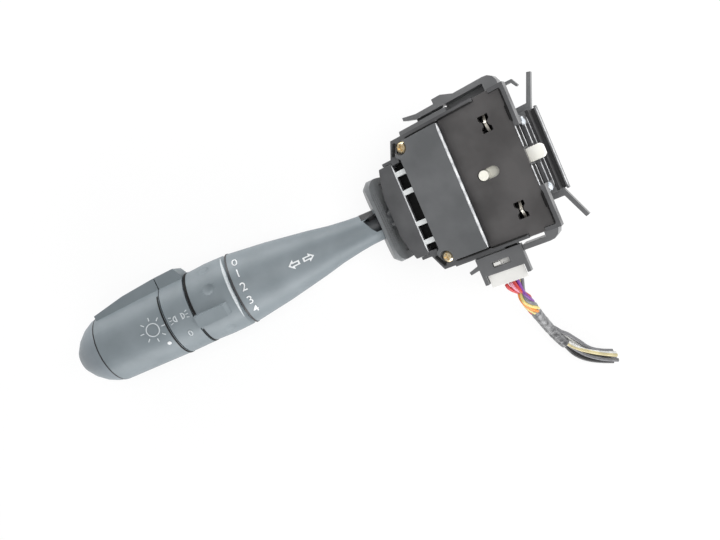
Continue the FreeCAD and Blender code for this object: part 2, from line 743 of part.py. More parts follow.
def switch_housing():
    body = new_body("switch_housing")
    outline = new_sketch(body, "XY_Plane", -floor_level)
    nose_outline(outline, 0.0)
    pad(body, outline, floor_level + rim_top)

    inner_left = housing_left + wall
    inner_right = housing_right - end_recess_depth - wall
    inner_half = end_block_half - wall
    chamber = new_sketch(body, "XY_Plane", rim_top)
    boss_end = screw_place + screw_head_radius * 2
    boss_half = screw_half - screw_head_radius * 2
    deep_half = housing_half - wall
    deep_right = end_wall - wall
    half_chamber = [(boss_end, boss_half), (boss_end, deep_half), (deep_right, deep_half),
                    (deep_right, inner_half), (inner_right, inner_half)]
    polygon(chamber, [(inner_left, boss_half)] + half_chamber
            + [(x, -y) for x, y in half_chamber[::-1]] + [(inner_left, -boss_half)])
    pocket(body, chamber, rim_top + chamber_bottom)

    # Below its rim the column end is set back beside the middle block.
    set_back = new_sketch(body, "XY_Plane", undercut_top)
    for side in (-1, 1):
        rectangle(set_back, end_wall, housing_right + 1, side * end_block_half,
                  side * (housing_half + 1))
    pocket(body, set_back, undercut_top + floor_level + 1)

    seat = new_sketch(body, "XY_Plane", rim_top)
    seat_half = cover_half + seat_gap
    polygon(seat, [(cover_left - 1.9, -housing_nose_half), (cover_left - 0.35, -seat_half),
                   (plate_right + seat_gap, -seat_half), (plate_right + seat_gap, seat_half),
                   (cover_left - 0.35, seat_half), (cover_left - 1.9, housing_nose_half)])
    pocket(body, seat, rim_top - cover_seat)

    plate_seat = new_sketch(body, "XY_Plane", rim_top)
    rectangle(plate_seat, cover_right + seat_gap, plate_right + seat_gap,
              -plate_half - seat_gap, plate_half + seat_gap)
    pocket(body, plate_seat, rim_top - plate_bottom)

    tabs = new_sketch(body, "XY_Plane", rim_top)
    rectangle(tabs, plate_tab_start - seat_gap, plate_tab_start + plate_tab_length + seat_gap,
              -housing_half - 1, housing_half + 1)
    pocket(body, tabs, rim_top - plate_bottom)

    for side in (-1, 1):
        hole = new_sketch(body, "XY_Plane", rim_top)
        circle(hole, screw_place, side * screw_half, screw_shank_radius + fit_gap)
        pocket(body, hole, rim_top - cover_seat + screw_length)

    mouth = new_sketch(body, "YZ_Plane", housing_left - 1)
    rectangle(mouth, -mouth_half, mouth_half, -chamber_bottom, rim_top + 1)
    pocket(body, mouth, wall + 2, up=True)

    recess = new_sketch(body, "YZ_Plane", housing_right)
    rectangle(recess, -end_recess_half, end_recess_half, -floor_level, rim_top)
    pocket(body, recess, end_recess_depth)
    doc.recompute()

    slat_foot = housing_right - end_recess_depth
    slats = new_sketch(body, "YZ_Plane", slat_foot)
    for i in range(slat_count):
        level = slat_top - slat_pitch * i
        rectangle(slats, -end_recess_half, end_recess_half, level - slat_thick, level)
    pad(body, slats, end_recess_depth)

    pawl_door = new_sketch(body, "YZ_Plane", housing_right)
    rectangle(pawl_door, -pawl_width / 2 - slide_gap, pawl_width / 2 + slide_gap,
              plate_bottom - pawl_thick - slide_gap * 2, rim_top + 1)
    pocket(body, pawl_door, end_recess_depth + wall + 1)

    boss = new_sketch(body, "XY_Plane", -chamber_bottom)
    circle(boss, turn_pivot, 0, turn_pin_radius + 1.6)
    pad(body, boss, chamber_bottom - carrier_bottom - free_gap)
    bore = new_sketch(body, "XY_Plane", -carrier_bottom - free_gap)
    circle(bore, turn_pivot, 0, turn_pin_radius)
    pocket(body, bore, chamber_bottom - carrier_bottom - free_gap)
    # Two rails guide the contact slider across the floor.
    rails = new_sketch(body, "XY_Plane", -chamber_bottom)
    for edge in (slider_left - free_gap - 1.2, slider_right + free_gap):
        rectangle(rails, edge, edge + 1.2, -carrier_half, carrier_half)
    pad(body, rails, 1.8)

    ears = new_sketch(body, "XY_Plane", rim_top - 3)
    for side in (-1, 1):
        inner = side * (hood_half + seat_gap)
        outer = side * (hood_half + seat_gap + 1.2)
        rectangle(ears, housing_left - 4, housing_left, inner, outer)
    pad(body, ears, 3)
    keep("switch_housing", body, "housing")


def screw_cover():
    body = new_body("screw_cover")
    outline = new_sketch(body, "XY_Plane", cover_seat)
    edge = [(cover_right, cover_half), (cover_left - 0.1, cover_half),
            (cover_left - 1.6, cover_half - 4.9), (cover_left, cover_half - 6.5)]
    polygon(outline, edge + [(x, -y) for x, y in edge[::-1]])
    pad(body, outline, cover_top - cover_seat)
    for side in (-1, 1):
        recess = new_sketch(body, "XY_Plane", cover_top)
        circle(recess, screw_place, side * screw_half, screw_head_radius + 0.55)
        pocket(body, recess, cover_top - cover_seat - 1.6)
        hole = new_sketch(body, "XY_Plane", cover_top)
        circle(hole, screw_place, side * screw_half, screw_shank_radius + fit_gap)
        pocket(body, hole, cover_top - cover_seat)
    hollow = new_sketch(body, "XY_Plane", cover_seat)
    hollow_half = screw_half - screw_head_radius * 2
    rectangle(hollow, cover_left + cover_skin, cover_right - cover_skin, -hollow_half, hollow_half)
    pocket(body, hollow, cover_top - cover_seat - cover_skin, up=True)
    keep("screw_cover", body, "housing")


def contact_plate():
    body = new_body("contact_plate")
    outline = new_sketch(body, "XY_Plane", plate_bottom)
    tab_end = plate_tab_start + plate_tab_length
    tab_half = housing_half - 0.3
    left = cover_right + seat_gap
    polygon(outline, [(left, -plate_half), (plate_tab_start, -plate_half),
                      (plate_tab_start, -tab_half), (tab_end, -tab_half), (tab_end, -plate_half),
                      (plate_right, -plate_half), (plate_right, plate_half),
                      (tab_end, plate_half), (tab_end, tab_half), (plate_tab_start, tab_half),
                      (plate_tab_start, plate_half), (left, plate_half)])
    pad(body, outline, plate_thick)
    slot_radius = guide_radius + seat_gap
    slot = new_sketch(body, "XY_Plane", plate_top)
    slot_outline(slot, slot_start + slot_radius, slot_start + slot_length - slot_radius, 0,
                 slot_radius)
    pocket(body, slot, plate_thick)
    for side in (-1, 1):
        window = new_sketch(body, "XY_Plane", plate_top)
        x = window_place
        y = side * window_half
        wide, narrow = window_width / 2, window_width / 4
        far, near = window_length / 2, window_length / 6
        polygon(window, [(x - wide, y - far), (x + wide, y - far), (x + wide, y - near - 0.5),
                         (x + narrow, y - near + 0.4), (x + narrow, y + near - 0.4),
                         (x + wide, y + near + 0.5), (x + wide, y + far), (x - wide, y + far),
                         (x - wide, y + near + 0.5), (x - narrow, y + near - 0.4),
                         (x - narrow, y - near + 0.4), (x - wide, y - near - 0.5)])
        pocket(body, window, plate_thick)
    keep("contact_plate", body, "housing")


def cover_screws():
    screws = []
    seat = cover_seat + 1.6
    for side, tag in ((-1, "lower"), (1, "upper")):
        y = side * screw_half
        shank = rod("screw_shank_" + tag, (screw_place, y, cover_seat - screw_length + 1), "z",
                    screw_shank_radius, screw_length + 0.6)
        head = rod("screw_rim_" + tag, (screw_place, y, seat), "z", screw_head_radius,
                   screw_head_height / 2)
        dome = taper("screw_dome_" + tag, (screw_place, y, seat + screw_head_height / 2), "z",
                     screw_head_radius, screw_head_radius * 0.7, screw_head_height / 2)
        solid = fuse("screw_solid_" + tag, [shank, head, dome])
        deep = seat + screw_head_height / 3
        high = seat + screw_head_height + 1
        across = screw_head_radius * 0.55
        thin = screw_head_radius * 0.14
        long_way = box("screw_cross_x_" + tag, screw_place - across, screw_place + across,
                       y - thin, y + thin, deep, high)
        short_way = box("screw_cross_y_" + tag, screw_place - thin, screw_place + thin,
                        y - across, y + across, deep, high)
        cross = fuse("screw_cross_" + tag, [long_way, short_way])
        screws.append(cut("screw_" + tag, solid, cross))
    keep("cover_screws", group("cover_screws", screws), "housing")


def front_hood():
    body = new_body("front_hood")
    back = housing_left - seat_gap
    outline = new_sketch(body, "XY_Plane", -floor_level - 1)
    edge = [(-hood_reach, hood_half * 0.43), (-3.7, hood_half * 0.71), (-2, hood_half),
            (back, hood_half)]
    polygon(outline, edge + [(x, -y) for x, y in edge[::-1]])
    pad(body, outline, floor_level + 1 + rim_top + 0.2)
    mouth = new_sketch(body, "YZ_Plane", -hood_reach - 1)
    rectangle(mouth, -hood_half + hood_wall, hood_half - hood_wall, -chamber_bottom - 0.4,
              rim_top - hood_wall)
    pocket(body, mouth, hood_reach + housing_left + 2, up=True)
    # The frame's front rail passes behind the hood's lower edge.
    rail_space = new_sketch(body, "XY_Plane", -frame_top + fit_gap)
    rectangle(rail_space, housing_left - 0.9 - seat_gap, housing_left + 1, -hood_half - 1,
              hood_half + 1)
    pocket(body, rail_space, floor_level)
    keep("front_hood", body, "housing")


def bearing_comb():
    """Nylon comb; its four fingers show in the slot between hood and cover."""
    spine = box("comb_spine", cover_left - 1.2, cover_left + 2.4, -mouth_half + seat_gap,
                mouth_half - seat_gap, cover_seat - 1.6, cover_seat - fit_gap)
    items = [spine]
    for i, y in enumerate((-comb_outer, -comb_inner, comb_inner, comb_outer)):
        items.append(box("comb_finger_%d" % i, housing_left, cover_left - seat_gap, y - 1, y + 1,
                         cover_seat - 1, rim_top + 0.6))
    keep("bearing_comb", fuse("bearing_comb", items), "housing")


def latch_arm(body, low, height, side, reach, rail, start):
    """Springy arm along the housing's side, rooted at the column end."""
    inner = reach - latch_thick
    arm = new_sketch(body, "XY_Plane", low)
    root = [(latch_root, side * inner), (latch_root, side * (rail - 2)),
            (frame_right, side * (rail - 2)), (frame_right, side * (reach - 3.6)),
            (frame_right - 0.9, side * (reach - 1.5)), (frame_right - 2.6, side * (reach - 0.3)),
            (frame_right - 4.6, side * reach)]
    if side > 0:
        tip = [(start, reach + 1.2), (start, reach - 0.3), (start + 6, inner)]
        barb = [(barb_place + 9, reach), (barb_place + 4, reach + barb_rise),
                (barb_place, reach + barb_rise), (barb_place, reach), (start + 6, reach)]
        polygon(arm, tip + root + barb)
    else:
        polygon(arm, [(start, side * reach), (start, side * inner)] + root)
    pad(body, arm, height)


def mounting_frame():
    body = new_body("mounting_frame")
    low = -frame_bottom
    left = housing_left - 0.9
    narrow = housing_half + 1.4
    right = housing_right + 1.2
    block = end_block_half + 1.8
    step = barb_place + 4
    ring = new_sketch(body, "XY_Plane", low)
    polygon(ring, [(left, -housing_nose_half), (left + corner_run - 0.9, -lower_rail),
                   (step, -lower_rail), (step, -narrow), (frame_right, -narrow),
                   (frame_right, -block), (right, -block), (right, block), (frame_right, block),
                   (frame_right, narrow), (step, narrow), (step, upper_rail),
                   (left + corner_run - 0.9, upper_rail), (left, housing_nose_half)])
    inside = [(housing_right + fit_gap, end_block_half + fit_gap),
              (end_wall + fit_gap, end_block_half + fit_gap),
              (end_wall + fit_gap, housing_half + fit_gap),
              (housing_left + corner_run - fit_gap, housing_half + fit_gap),
              (housing_left - fit_gap, housing_nose_half + fit_gap / 2)]
    polygon(ring, inside + [(x, -y) for x, y in inside[::-1]])
    pad(body, ring, frame_height)

    # The upper arm stands over a ledge of the frame; the lower arm has a clear gap beside it.
    raised_low = low + ledge_height + free_gap
    latch_arm(body, raised_low, -frame_top - raised_low, 1, upper_latch, narrow + 1, latch_free)
    latch_arm(body, low, frame_height, -1, lower_latch, narrow + 1,
              socket_start + socket_length + seat_gap)
    ledge = new_sketch(body, "XY_Plane", low)
    rectangle(ledge, step - 1, latch_root + 1, narrow - 1, upper_latch - latch_thick / 2)
    pad(body, ledge, ledge_height)

    shelf = new_sketch(body, "XY_Plane", low)
    rectangle(shelf, housing_right + 1, housing_right + shelf_depth, -shelf_half, shelf_half)
    pad(body, shelf, shelf_thick)
    lip = new_sketch(body, "XY_Plane", low)
    rectangle(lip, housing_right + shelf_depth - 0.9, housing_right + shelf_depth,
              -shelf_half - 0.6, shelf_half + 0.6)
    pad(body, lip, shelf_thick + 0.8)

    # Two spread fingers beside the column, each on its own foot
    foot = housing_right + 1.4
    for side in (-1, 1):
        finger = new_sketch(body, "XY_Plane", low)
        polygon(finger, [(frame_right - 1, side * (block - 0.5)), (foot, side * (block - 0.5)),
                         (foot + 0.6, side * (block + 1)),
                         (finger_tip_x, side * finger_tip_y),
                         (finger_tip_x - finger_thick, side * (finger_tip_y + 0.5)),
                         (foot - 0.6, side * (block + 2.8)), (frame_right - 1, side * (block + 2.8))])
        pad(body, finger, finger_height)
    # Small wire hook at the upper corner
    hook = new_sketch(body, "XY_Plane", -frame_top - 2)
    high = narrow + 0.4
    polygon(hook, [(frame_right - 1, high - 1.3), (housing_right - 0.6, high - 1.3),
                   (housing_right + 0.8, high - 3.6), (housing_right + 1.7, high - 3.3),
                   (housing_right + 0.2, high - 0.2), (frame_right - 1, high)])
    pad(body, hook, 2)
    keep("mounting_frame", body, "housing")


def housing_base():
    body = new_body("housing_base")
    outline = new_sketch(body, "XY_Plane", -base_drop)
    left = housing_left
    base_right = end_wall - seat_gap
    edge = [(base_right, base_half), (left + corner_run, base_half),
            (left, housing_nose_half - seat_gap * 4)]
    polygon(outline, edge + [(x, -y) for x, y in edge[::-1]])
    pad(body, outline, base_drop - floor_level - fit_gap)
    cells = new_sketch(body, "XY_Plane", -base_drop)
    rib = 1.6
    columns, rows = 3, 2
    cell_x = (base_right - left - 8 - rib * (columns - 1)) / columns
    cell_y = (base_half * 2 - 10 - rib * (rows - 1)) / rows
    for i in range(columns):
        for j in range(rows):
            x = left + 4 + (cell_x + rib) * i
            y = -base_half + 5 + (cell_y + rib) * j
            rectangle(cells, x, x + cell_x, y, y + cell_y)
    pocket(body, cells, 5, up=True)
    keep("housing_base", body, "housing")


def socket_profile(sketch, left, right, low, high):
    """Upright section of the socket: its column side leans in towards the bottom."""
    run = socket_slant / socket_height
    polygon(sketch, [(left, low), (right - run * (-socket_top - low), low),
                     (right - run * (-socket_top - high), high), (left, high)])


def connector_socket():
    """Open socket on the housing's side, with two guide ears and a latch window."""
    body = new_body("connector_socket")
    end = socket_start + socket_length
    back = lower_rail + fit_gap
    shell = new_sketch(body, "XZ_Plane", back)
    socket_profile(shell, socket_start, end, -socket_bottom, -socket_top)
    pad(body, shell, socket_reach - back)
    ears = new_sketch(body, "XZ_Plane", back)
    for left in (socket_start, end - socket_wall):
        rectangle(ears, left, left + socket_wall, -socket_top - ear_height, -socket_top)
    pad(body, ears, socket_reach + socket_ear - back)
    # Below the frame the socket runs on to the base.
    root = new_sketch(body, "XY_Plane", -socket_bottom)
    rectangle(root, socket_start, end - socket_slant, -back - 1, -base_half - fit_gap)
    pad(body, root, socket_bottom - frame_bottom - fit_gap)
    cavity = new_sketch(body, "XZ_Plane", socket_reach + 1)
    socket_profile(cavity, socket_start + socket_wall, end - socket_wall,
                   -socket_bottom + socket_wall, -socket_top - socket_wall)
    pocket(body, cavity, socket_reach + 1 - lower_rail - socket_wall)
    window = new_sketch(body, "XY_Plane", -socket_top)
    rectangle(window, socket_start + 6.2, socket_start + 13.6, -socket_reach + 2.6,
              -socket_reach + 4.8)
    pocket(body, window, socket_wall + 0.5)
    tab = new_sketch(body, "XY_Plane", -socket_top - 6)
    polygon(tab, [(socket_start, -lower_latch + 0.4), (socket_start, -lower_latch - 1.6),
                  (socket_start - 4, -lower_latch - 2.4), (socket_start - 4.4, -lower_latch - 1)])
    pad(body, tab, 6)
    keep("connector_socket", body, "housing")


def connector_plug():
    body = new_body("connector_plug")
    gap = seat_gap * 2
    left = socket_start + socket_wall + gap
    right = socket_start + socket_length - socket_wall - gap
    low, high = -socket_bottom + socket_wall + gap, -socket_top - socket_wall - gap
    nose = lower_rail + socket_wall + gap
    face = new_sketch(body, "XZ_Plane", nose)
    socket_profile(face, left, right, low, high)
    pad(body, face, plug_reach - nose)
    mouth = new_sketch(body, "XZ_Plane", nose)
    socket_profile(mouth, left + 1, right - 1, low + 1, high - 1)
    pocket(body, mouth, 6, up=True)
    # The wires leave from a shallow round recess.
    wire_recess = new_sketch(body, "XZ_Plane", plug_reach)
    circle(wire_recess, socket_start + socket_length / 2, -(socket_top + socket_bottom) / 2,
           loom_radius + free_gap)
    pocket(body, wire_recess, 1.2)
    latch = new_sketch(body, "XY_Plane", high)
    rectangle(latch, socket_start + 6.6, socket_start + 9.6, -socket_reach + 3, -socket_reach + 4.4)
    pad(body, latch, socket_wall)
    keep("connector_plug", body, "housing")


def socket_pins():
    pins = []
    back = -lower_rail - socket_wall
    columns = 4
    pitch = (socket_length - socket_wall * 2 - socket_slant - 5) / (columns - 1)
    middle = -(socket_top + socket_bottom) / 2
    for i in range(columns):
        for j, level in enumerate((middle - 1.7, middle + 1.7)):
            x = socket_start + socket_wall + 2.5 + pitch * i
            pins.append(box("socket_pin_%d_%d" % (i, j), x - 0.4, x + 0.4, back - 4.4, back,
                            level - 0.4, level + 0.4))
    keep("socket_pins", group("socket_pins", pins), "housing")


def turn_carrier():
    """Block that turns on the upright pivot and carries the lever between its cheeks."""
    body = new_body("turn_carrier")
    inner = carrier_half - cheek_thick
    tail_half = plunger_radius * 2.5
    block_front = eye_radius + 3
    block_back = turn_pivot + turn_pin_radius + 2
    outline = new_sketch(body, "XY_Plane", -carrier_bottom)
    polygon(outline, [(-carrier_front, -carrier_half), (block_back, -carrier_half),
                      (block_back, -tail_half), (carrier_tail, -tail_half),
                      (carrier_tail, tail_half), (block_back, tail_half),
                      (block_back, carrier_half), (-carrier_front, carrier_half),
                      (-carrier_front, inner), (block_front, inner), (block_front, -inner),
                      (-carrier_front, -inner)])
    pad(body, outline, carrier_bottom + carrier_top)
    pivot = new_sketch(body, "XY_Plane", carrier_top)
    circle(pivot, turn_pivot, 0, turn_pin_radius + fit_gap)
    pocket(body, pivot, carrier_bottom + carrier_top)
    pin_hole = new_sketch(body, "XZ_Plane", carrier_half)
    circle(pin_hole, 0, 0, dip_pin_radius)
    pocket(body, pin_hole, carrier_half * 2)
    bore = new_sketch(body, "YZ_Plane", carrier_tail)
    circle(bore, 0, 0, plunger_radius + fit_gap)
    pocket(body, bore, carrier_tail - block_back - 0.5)
    peg = new_sketch(body, "XY_Plane", -carrier_bottom)
    circle(peg, turn_pivot + slider_lever, 0, slider_half / 6)
    pad(body, peg, chamber_bottom - carrier_bottom - 1, down=True)
    keep("turn_carrier", body, "housing")


def pivot_pieces():
    shaft = rod("turn_pin_shaft", (turn_pivot, 0, -chamber_bottom), "z", turn_pin_radius,
                chamber_bottom + carrier_top + free_gap)
    head = rod("turn_pin_head", (turn_pivot, 0, carrier_top + free_gap), "z",
               turn_pin_radius + 1.4, 1.2)
    keep("turn_pivot_pin", fuse("turn_pivot_pin", [shaft, head]), "housing")

    pin = rod("dip_pin_rod", (0, -carrier_half, 0), "y", dip_pin_radius, carrier_half * 2)
    keep("dip_pivot_pin", group("dip_pivot_pin", [pin]), "housing")

    spring_gap = carrier_half - cheek_thick - eye_width / 2
    spring = coil("dip_spring_coil", (0, eye_width / 2 + 0.6, 0), "y", dip_pin_radius + 0.7,
                  spring_wire, spring_wire * 4, spring_gap - 1.2)
    keep("dip_return_spring", group("dip_return_spring", [spring]), "housing")


def turn_detent():
    """Spring-loaded plunger in the carrier's tail, facing a curved detent track."""
    bore_floor = turn_pivot + turn_pin_radius + 2.5
    tip = turn_pivot + plunger_reach
    plunger_foot = bore_floor + 5.5
    stem = rod("plunger_stem", (plunger_foot, 0, 0), "x", plunger_radius,
               tip - plunger_radius - plunger_foot)
    nose = taper("plunger_nose", (tip - plunger_radius, 0, 0), "x", plunger_radius,
                 plunger_radius / 4, plunger_radius)
    keep("detent_plunger", fuse("detent_plunger", [stem, nose]), "housing")

    spring = coil("detent_spring_coil", (bore_floor + spring_wire + 0.05, 0, 0), "x",
                  plunger_radius - spring_wire * 2, spring_wire, spring_wire * 7,
                  plunger_foot - bore_floor - spring_wire * 2 - 0.1)
    keep("detent_spring", group("detent_spring", [spring]), "housing")

    block_end = tip + 4.7
    block = box("detent_block", tip - 2.5, block_end, -slider_half, slider_half, -chamber_bottom,
                carrier_top)
    # The post behind the cancel pawl's spring stands on the same block.
    post = box("pawl_post", block_end - 1.2, block_end, pawl_spring_y - 0.95,
               pawl_spring_y + 0.95, carrier_top, plate_bottom - free_gap)
    track = fuse("detent_block_with_post", [block, post])
    sweep = rod("detent_sweep", (turn_pivot, 0, -floor_level), "z", plunger_reach + 0.3,
                floor_level * 2)
    dip = rod("detent_dip", (tip - 0.4, 0, -floor_level), "z", plunger_radius * 0.8,
              floor_level * 2)
    cuts = fuse("detent_cuts", [sweep, dip])
    keep("detent_track", cut("detent_track", track, cuts), "housing")


def cancel_pawl():
    """Sliding pawl that meets the column's cancelling cam, with its guide pin."""
    body = new_body("cancel_pawl")
    low = plate_bottom - pawl_thick - slide_gap
    slide_end = pawl_reach - 12.1
    half = pawl_width / 2
    wide = pawl_width * 1.35
    outline = new_sketch(body, "XY_Plane", low)
    polygon(outline, [(carrier_tail, -wide), (slide_end, -wide), (slide_end, -half),
                      (pawl_reach - 1, -half), (pawl_reach, -half + 1), (pawl_reach, half - 1),
                      (pawl_reach - 1, half), (slide_end, half), (slide_end, wide),
                      (carrier_tail, wide)])
    pad(body, outline, pawl_thick)
    bed_start = turn_pivot + plunger_reach + 3.5 - pawl_travel - free_gap
    bed_end = slide_end - 1
    spring_bed = new_sketch(body, "XY_Plane", low)
    rectangle(spring_bed, bed_start, bed_end, pawl_spring_y - 1.3, pawl_spring_y + 1.3)
    pocket(body, spring_bed, pawl_thick, up=True)
    guide = new_sketch(body, "XY_Plane", low + pawl_thick)
    circle(guide, slot_start + guide_radius + 0.4, 0, guide_radius)
    pad(body, guide, plate_thick + slide_gap)
    keep("cancel_pawl", body, "housing")

    spring_start = turn_pivot + plunger_reach + 4.7 + spring_wire + fit_gap
    spring = coil("pawl_spring_coil", (spring_start, pawl_spring_y, low + pawl_thick / 2), "x",
                  spring_wire * 3, spring_wire * 0.8, spring_wire * 8,
                  bed_end - spring_start - slide_gap * 2)
    keep("pawl_spring", group("pawl_spring", [spring]), "housing")


def contact_slider():
    """Slider under the carrier, driven sideways by the carrier's peg."""
    body = new_body("contact_slider")
    middle = turn_pivot + slider_lever
    low = -chamber_bottom + 1
    outline = new_sketch(body, "XY_Plane", low)
    rectangle(outline, slider_left, slider_right, -slider_half, slider_half)
    pad(body, outline, chamber_bottom - 1 - carrier_bottom - free_gap)
    slot = new_sketch(body, "XY_Plane", low)
    peg = slider_half / 6 + fit_gap
    rectangle(slot, middle - peg - free_gap, middle + peg + free_gap, -peg, peg)
    pocket(body, slot, chamber_bottom, up=True)
    keep("contact_slider", body, "housing")

    wipers = []
    strips = []
    for tag, side in (("lower", -1), ("upper", 1)):
        place = slider_half * 0.6 * side
        wipers.append(box("wiper_" + tag, middle - 2.4, middle + 4, place - 0.8, place + 0.8,
                          low - 0.3, low))
        strips.append(box("strip_" + tag, slider_left, slider_right, place - 2.4, place + 2.4,
                          -chamber_bottom, -chamber_bottom + 0.3))
    keep("slider_wipers", group("slider_wipers", wipers), "housing")
    keep("contact_strips", group("contact_strips", strips), "housing")


def contact_springs():
    """Bent metal leaves that show in the two windows of the contact plate."""
    leaves = []
    for side, tag in ((-1, "lower"), (1, "upper")):
        body = new_body("contact_leaf_" + tag)
        profile = new_sketch(body, "YZ_Plane", window_place - 0.5)
        y = side * window_half
        under, thick = plate_bottom - fit_gap, 0.3
        span, foot = window_length / 2 - 0.4, 1.6
        rise = under + plate_thick * 0.7
        polygon(profile, [(y - span - foot, under - thick), (y - span, under - thick),
                          (y - 0.4, rise - thick), (y + 0.4, rise - thick),
                          (y + span, under - thick), (y + span + foot, under - thick),
                          (y + span + foot, under), (y + span, under), (y + 0.4, rise),
                          (y - 0.4, rise), (y - span, under), (y - span - foot, under)])
        pad(body, profile, 1)
        leaves.append(body)
    keep("contact_springs", group("contact_springs", leaves), "housing")


def stalk_detents():
    """Pin and spring for each rotary control, radial in the collar's sleeve."""
    radius = detent_pin_radius
    reach = sleeve_radius + radius * 0.35
    floor = sleeve_radius - sleeve_wall + 0.8
    for name, place, sign in (("light", light_detent, 1), ("ring", ring_detent, -1)):
        pin = taper(name + "_pin_nose", (-place, 0, (reach - radius * 1.2) * sign), "z",
                    radius if sign > 0 else radius * 0.4, radius * 0.4 if sign > 0 else radius,
                    radius * 1.2)
        if sign < 0:
            bind(pin, "Placement.Base.z", -reach)
        keep(name + "_detent_pin", group(name + "_detent_pin", [pin]), "stalk")
        length = reach - radius * 1.2 - floor - 0.2
        start = floor + 0.1 if sign > 0 else -(reach - radius * 1.2 - 0.1)
        spring = coil(name + "_detent_coil", (-place, 0, start), "z", radius * 0.7, 0.12, 0.6,
                      length)
        keep(name + "_detent_spring", group(name + "_detent_spring", [spring]), "stalk")


def levelling_contacts():
    outer, inner = stalk_end_radius - stalk_wall - 0.5, sleeve_radius + 0.4
    track = rod("level_track_disc", (-stalk_end - 0.3, 0, 0), "x", outer, 0.3)
    track_hole = rod("level_track_hole", (-stalk_end - 1, 0, 0), "x", inner, 3)
    keep("level_track", cut("level_track", track, track_hole), "stalk")
    wiper = rod("level_wiper_disc", (-ring_start - 1.4, 0, 0), "x", outer, 1.1)
    wiper_hole = rod("level_wiper_hole", (-ring_start - 2, 0, 0), "x", inner, 3)
    keep("level_wiper", cut("level_wiper", wiper, wiper_hole), "stalk")


def wire_loom():
    """Free end of the wire loom: straight runs joined by arcs that touch both their runs."""
    points = [V(*spot) for spot in loom_route]
    edges = []
    last = points[0]
    for before, here, after in zip(points, points[1:], points[2:]):
        into, onward = here - before, after - here
        half_turn = into.getAngle(onward) / 2
        cut_back = bend_share * min(into.Length, onward.Length)
        radius = cut_back / math.tan(half_turn)
        print("loom bend radius", round(radius, 1))
        start = here - into.normalize() * cut_back
        end = here + onward.normalize() * cut_back
        inward = ((start + end) / 2 - here).normalize()
        middle = here + inward * (cut_back / math.sin(half_turn) - radius)
        edges.append(Part.LineSegment(last, start).toShape())
        edges.append(Part.Arc(start, middle, end).toShape())
        last = end
    edges.append(Part.LineSegment(last, points[-1]).toShape())
    path = Part.Wire(edges)
    section = Part.Circle(points[0], points[1] - points[0], loom_radius.number).toShape()
    tube = path.makePipeShell([Part.Wire([section])], True, False)
    expected = math.pi * loom_radius.number ** 2 * path.Length
    print("loom length", round(path.Length, 2), "volume ratio", round(tube.Volume / expected, 4))
    item = doc.addObject("Part::Feature", "wire_loom")
    item.Shape = tube
    keep("wire_loom", item, "table")


stalk_body()
lever_arm()
pivot_shroud()
levelling_ring()
index_collar()
light_knob()
knob_end_cap()
stalk_inner_pieces()
switch_housing()
screw_cover()
contact_plate()
cover_screws()
front_hood()
bearing_comb()
mounting_frame()
housing_base()
connector_socket()
connector_plug()
socket_pins()
turn_carrier()
pivot_pieces()
turn_detent()
cancel_pawl()
contact_slider()
contact_springs()
stalk_detents()
levelling_contacts()
wire_loom()
doc.recompute()


# Frames

def check_and_write():
    for item in doc.Objects:
        if "Invalid" in item.State or "Error" in item.State:
            raise RuntimeError("failed object: %s" % item.Label)
    os.makedirs("parts", exist_ok=True)
    for name, (item, frame) in nodes.items():
        shape = item.Shape
        if shape.isNull() or not shape.isValid():
            raise RuntimeError("bad shape: %s" % name)
        if len(shape.Solids) == 1:
            shape = shape.Solids[0]
        shape.exportStep("parts/%s.step" % name)


raised = V(0, 0, rest_height.number)
frames = {"housing": FreeCAD.Placement(raised, FreeCAD.Rotation(V(0, -1, 0), stalk_lean.number)),
          "stalk": FreeCAD.Placement(raised, turn_about_z(stalk_yaw.number)),
          "table": FreeCAD.Placement()}
for item, frame in nodes.values():
    item.Placement = frames[frame].multiply(item.Placement)
doc.recompute()

# The origin goes under the middle of everything but the cord.
bounds = FreeCAD.BoundBox()
for name, (item, frame) in nodes.items():
    if name not in cord_names:
        bounds.add(item.Shape.optimalBoundingBox())
centre = FreeCAD.Placement(V(-bounds.Center.x, -bounds.Center.y, 0), FreeCAD.Rotation())
for item, frame in nodes.values():
    item.Placement = centre.multiply(item.Placement)
doc.recompute()
print("pivot in the row frame", centre.Base, "height", round(bounds.ZLength, 2))
check_and_write()
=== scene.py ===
import math

import bmesh
import bpy
from mathutils import Matrix, Vector, noise
from mathutils.bvhtree import BVHTree


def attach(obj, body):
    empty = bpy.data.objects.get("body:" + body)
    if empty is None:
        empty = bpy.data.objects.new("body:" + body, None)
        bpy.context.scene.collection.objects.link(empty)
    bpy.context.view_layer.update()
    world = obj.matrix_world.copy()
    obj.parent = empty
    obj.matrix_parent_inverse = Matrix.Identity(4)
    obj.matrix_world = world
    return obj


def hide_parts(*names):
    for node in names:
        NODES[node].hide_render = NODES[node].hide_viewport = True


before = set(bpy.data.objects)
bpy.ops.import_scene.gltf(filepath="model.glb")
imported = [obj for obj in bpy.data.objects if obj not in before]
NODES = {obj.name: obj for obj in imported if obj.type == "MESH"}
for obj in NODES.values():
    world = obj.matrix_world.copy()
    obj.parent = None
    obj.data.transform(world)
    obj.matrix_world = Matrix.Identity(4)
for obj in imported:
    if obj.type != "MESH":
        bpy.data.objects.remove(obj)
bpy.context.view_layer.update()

MM = 0.001
PIVOT = Vector((46.678, 2.25, 15.8)) * MM
LEAN = math.radians(32)
COS, SIN = math.cos(LEAN), math.sin(LEAN)
YAW = math.radians(1.4)
YAW_COS, YAW_SIN = math.cos(YAW), math.sin(YAW)
STALK_RADIUS = 0.0155
UP = Vector((0, 0, 1))
SIDES = (("lower", -1), ("upper", 1))
scene = bpy.context.scene


# Places

def in_housing(along, across, out):
    """Row-frame point of a place in the leaning housing frame, given in millimetres."""
    return PIVOT + Vector((along * COS - out * SIN, across, along * SIN + out * COS)) * MM


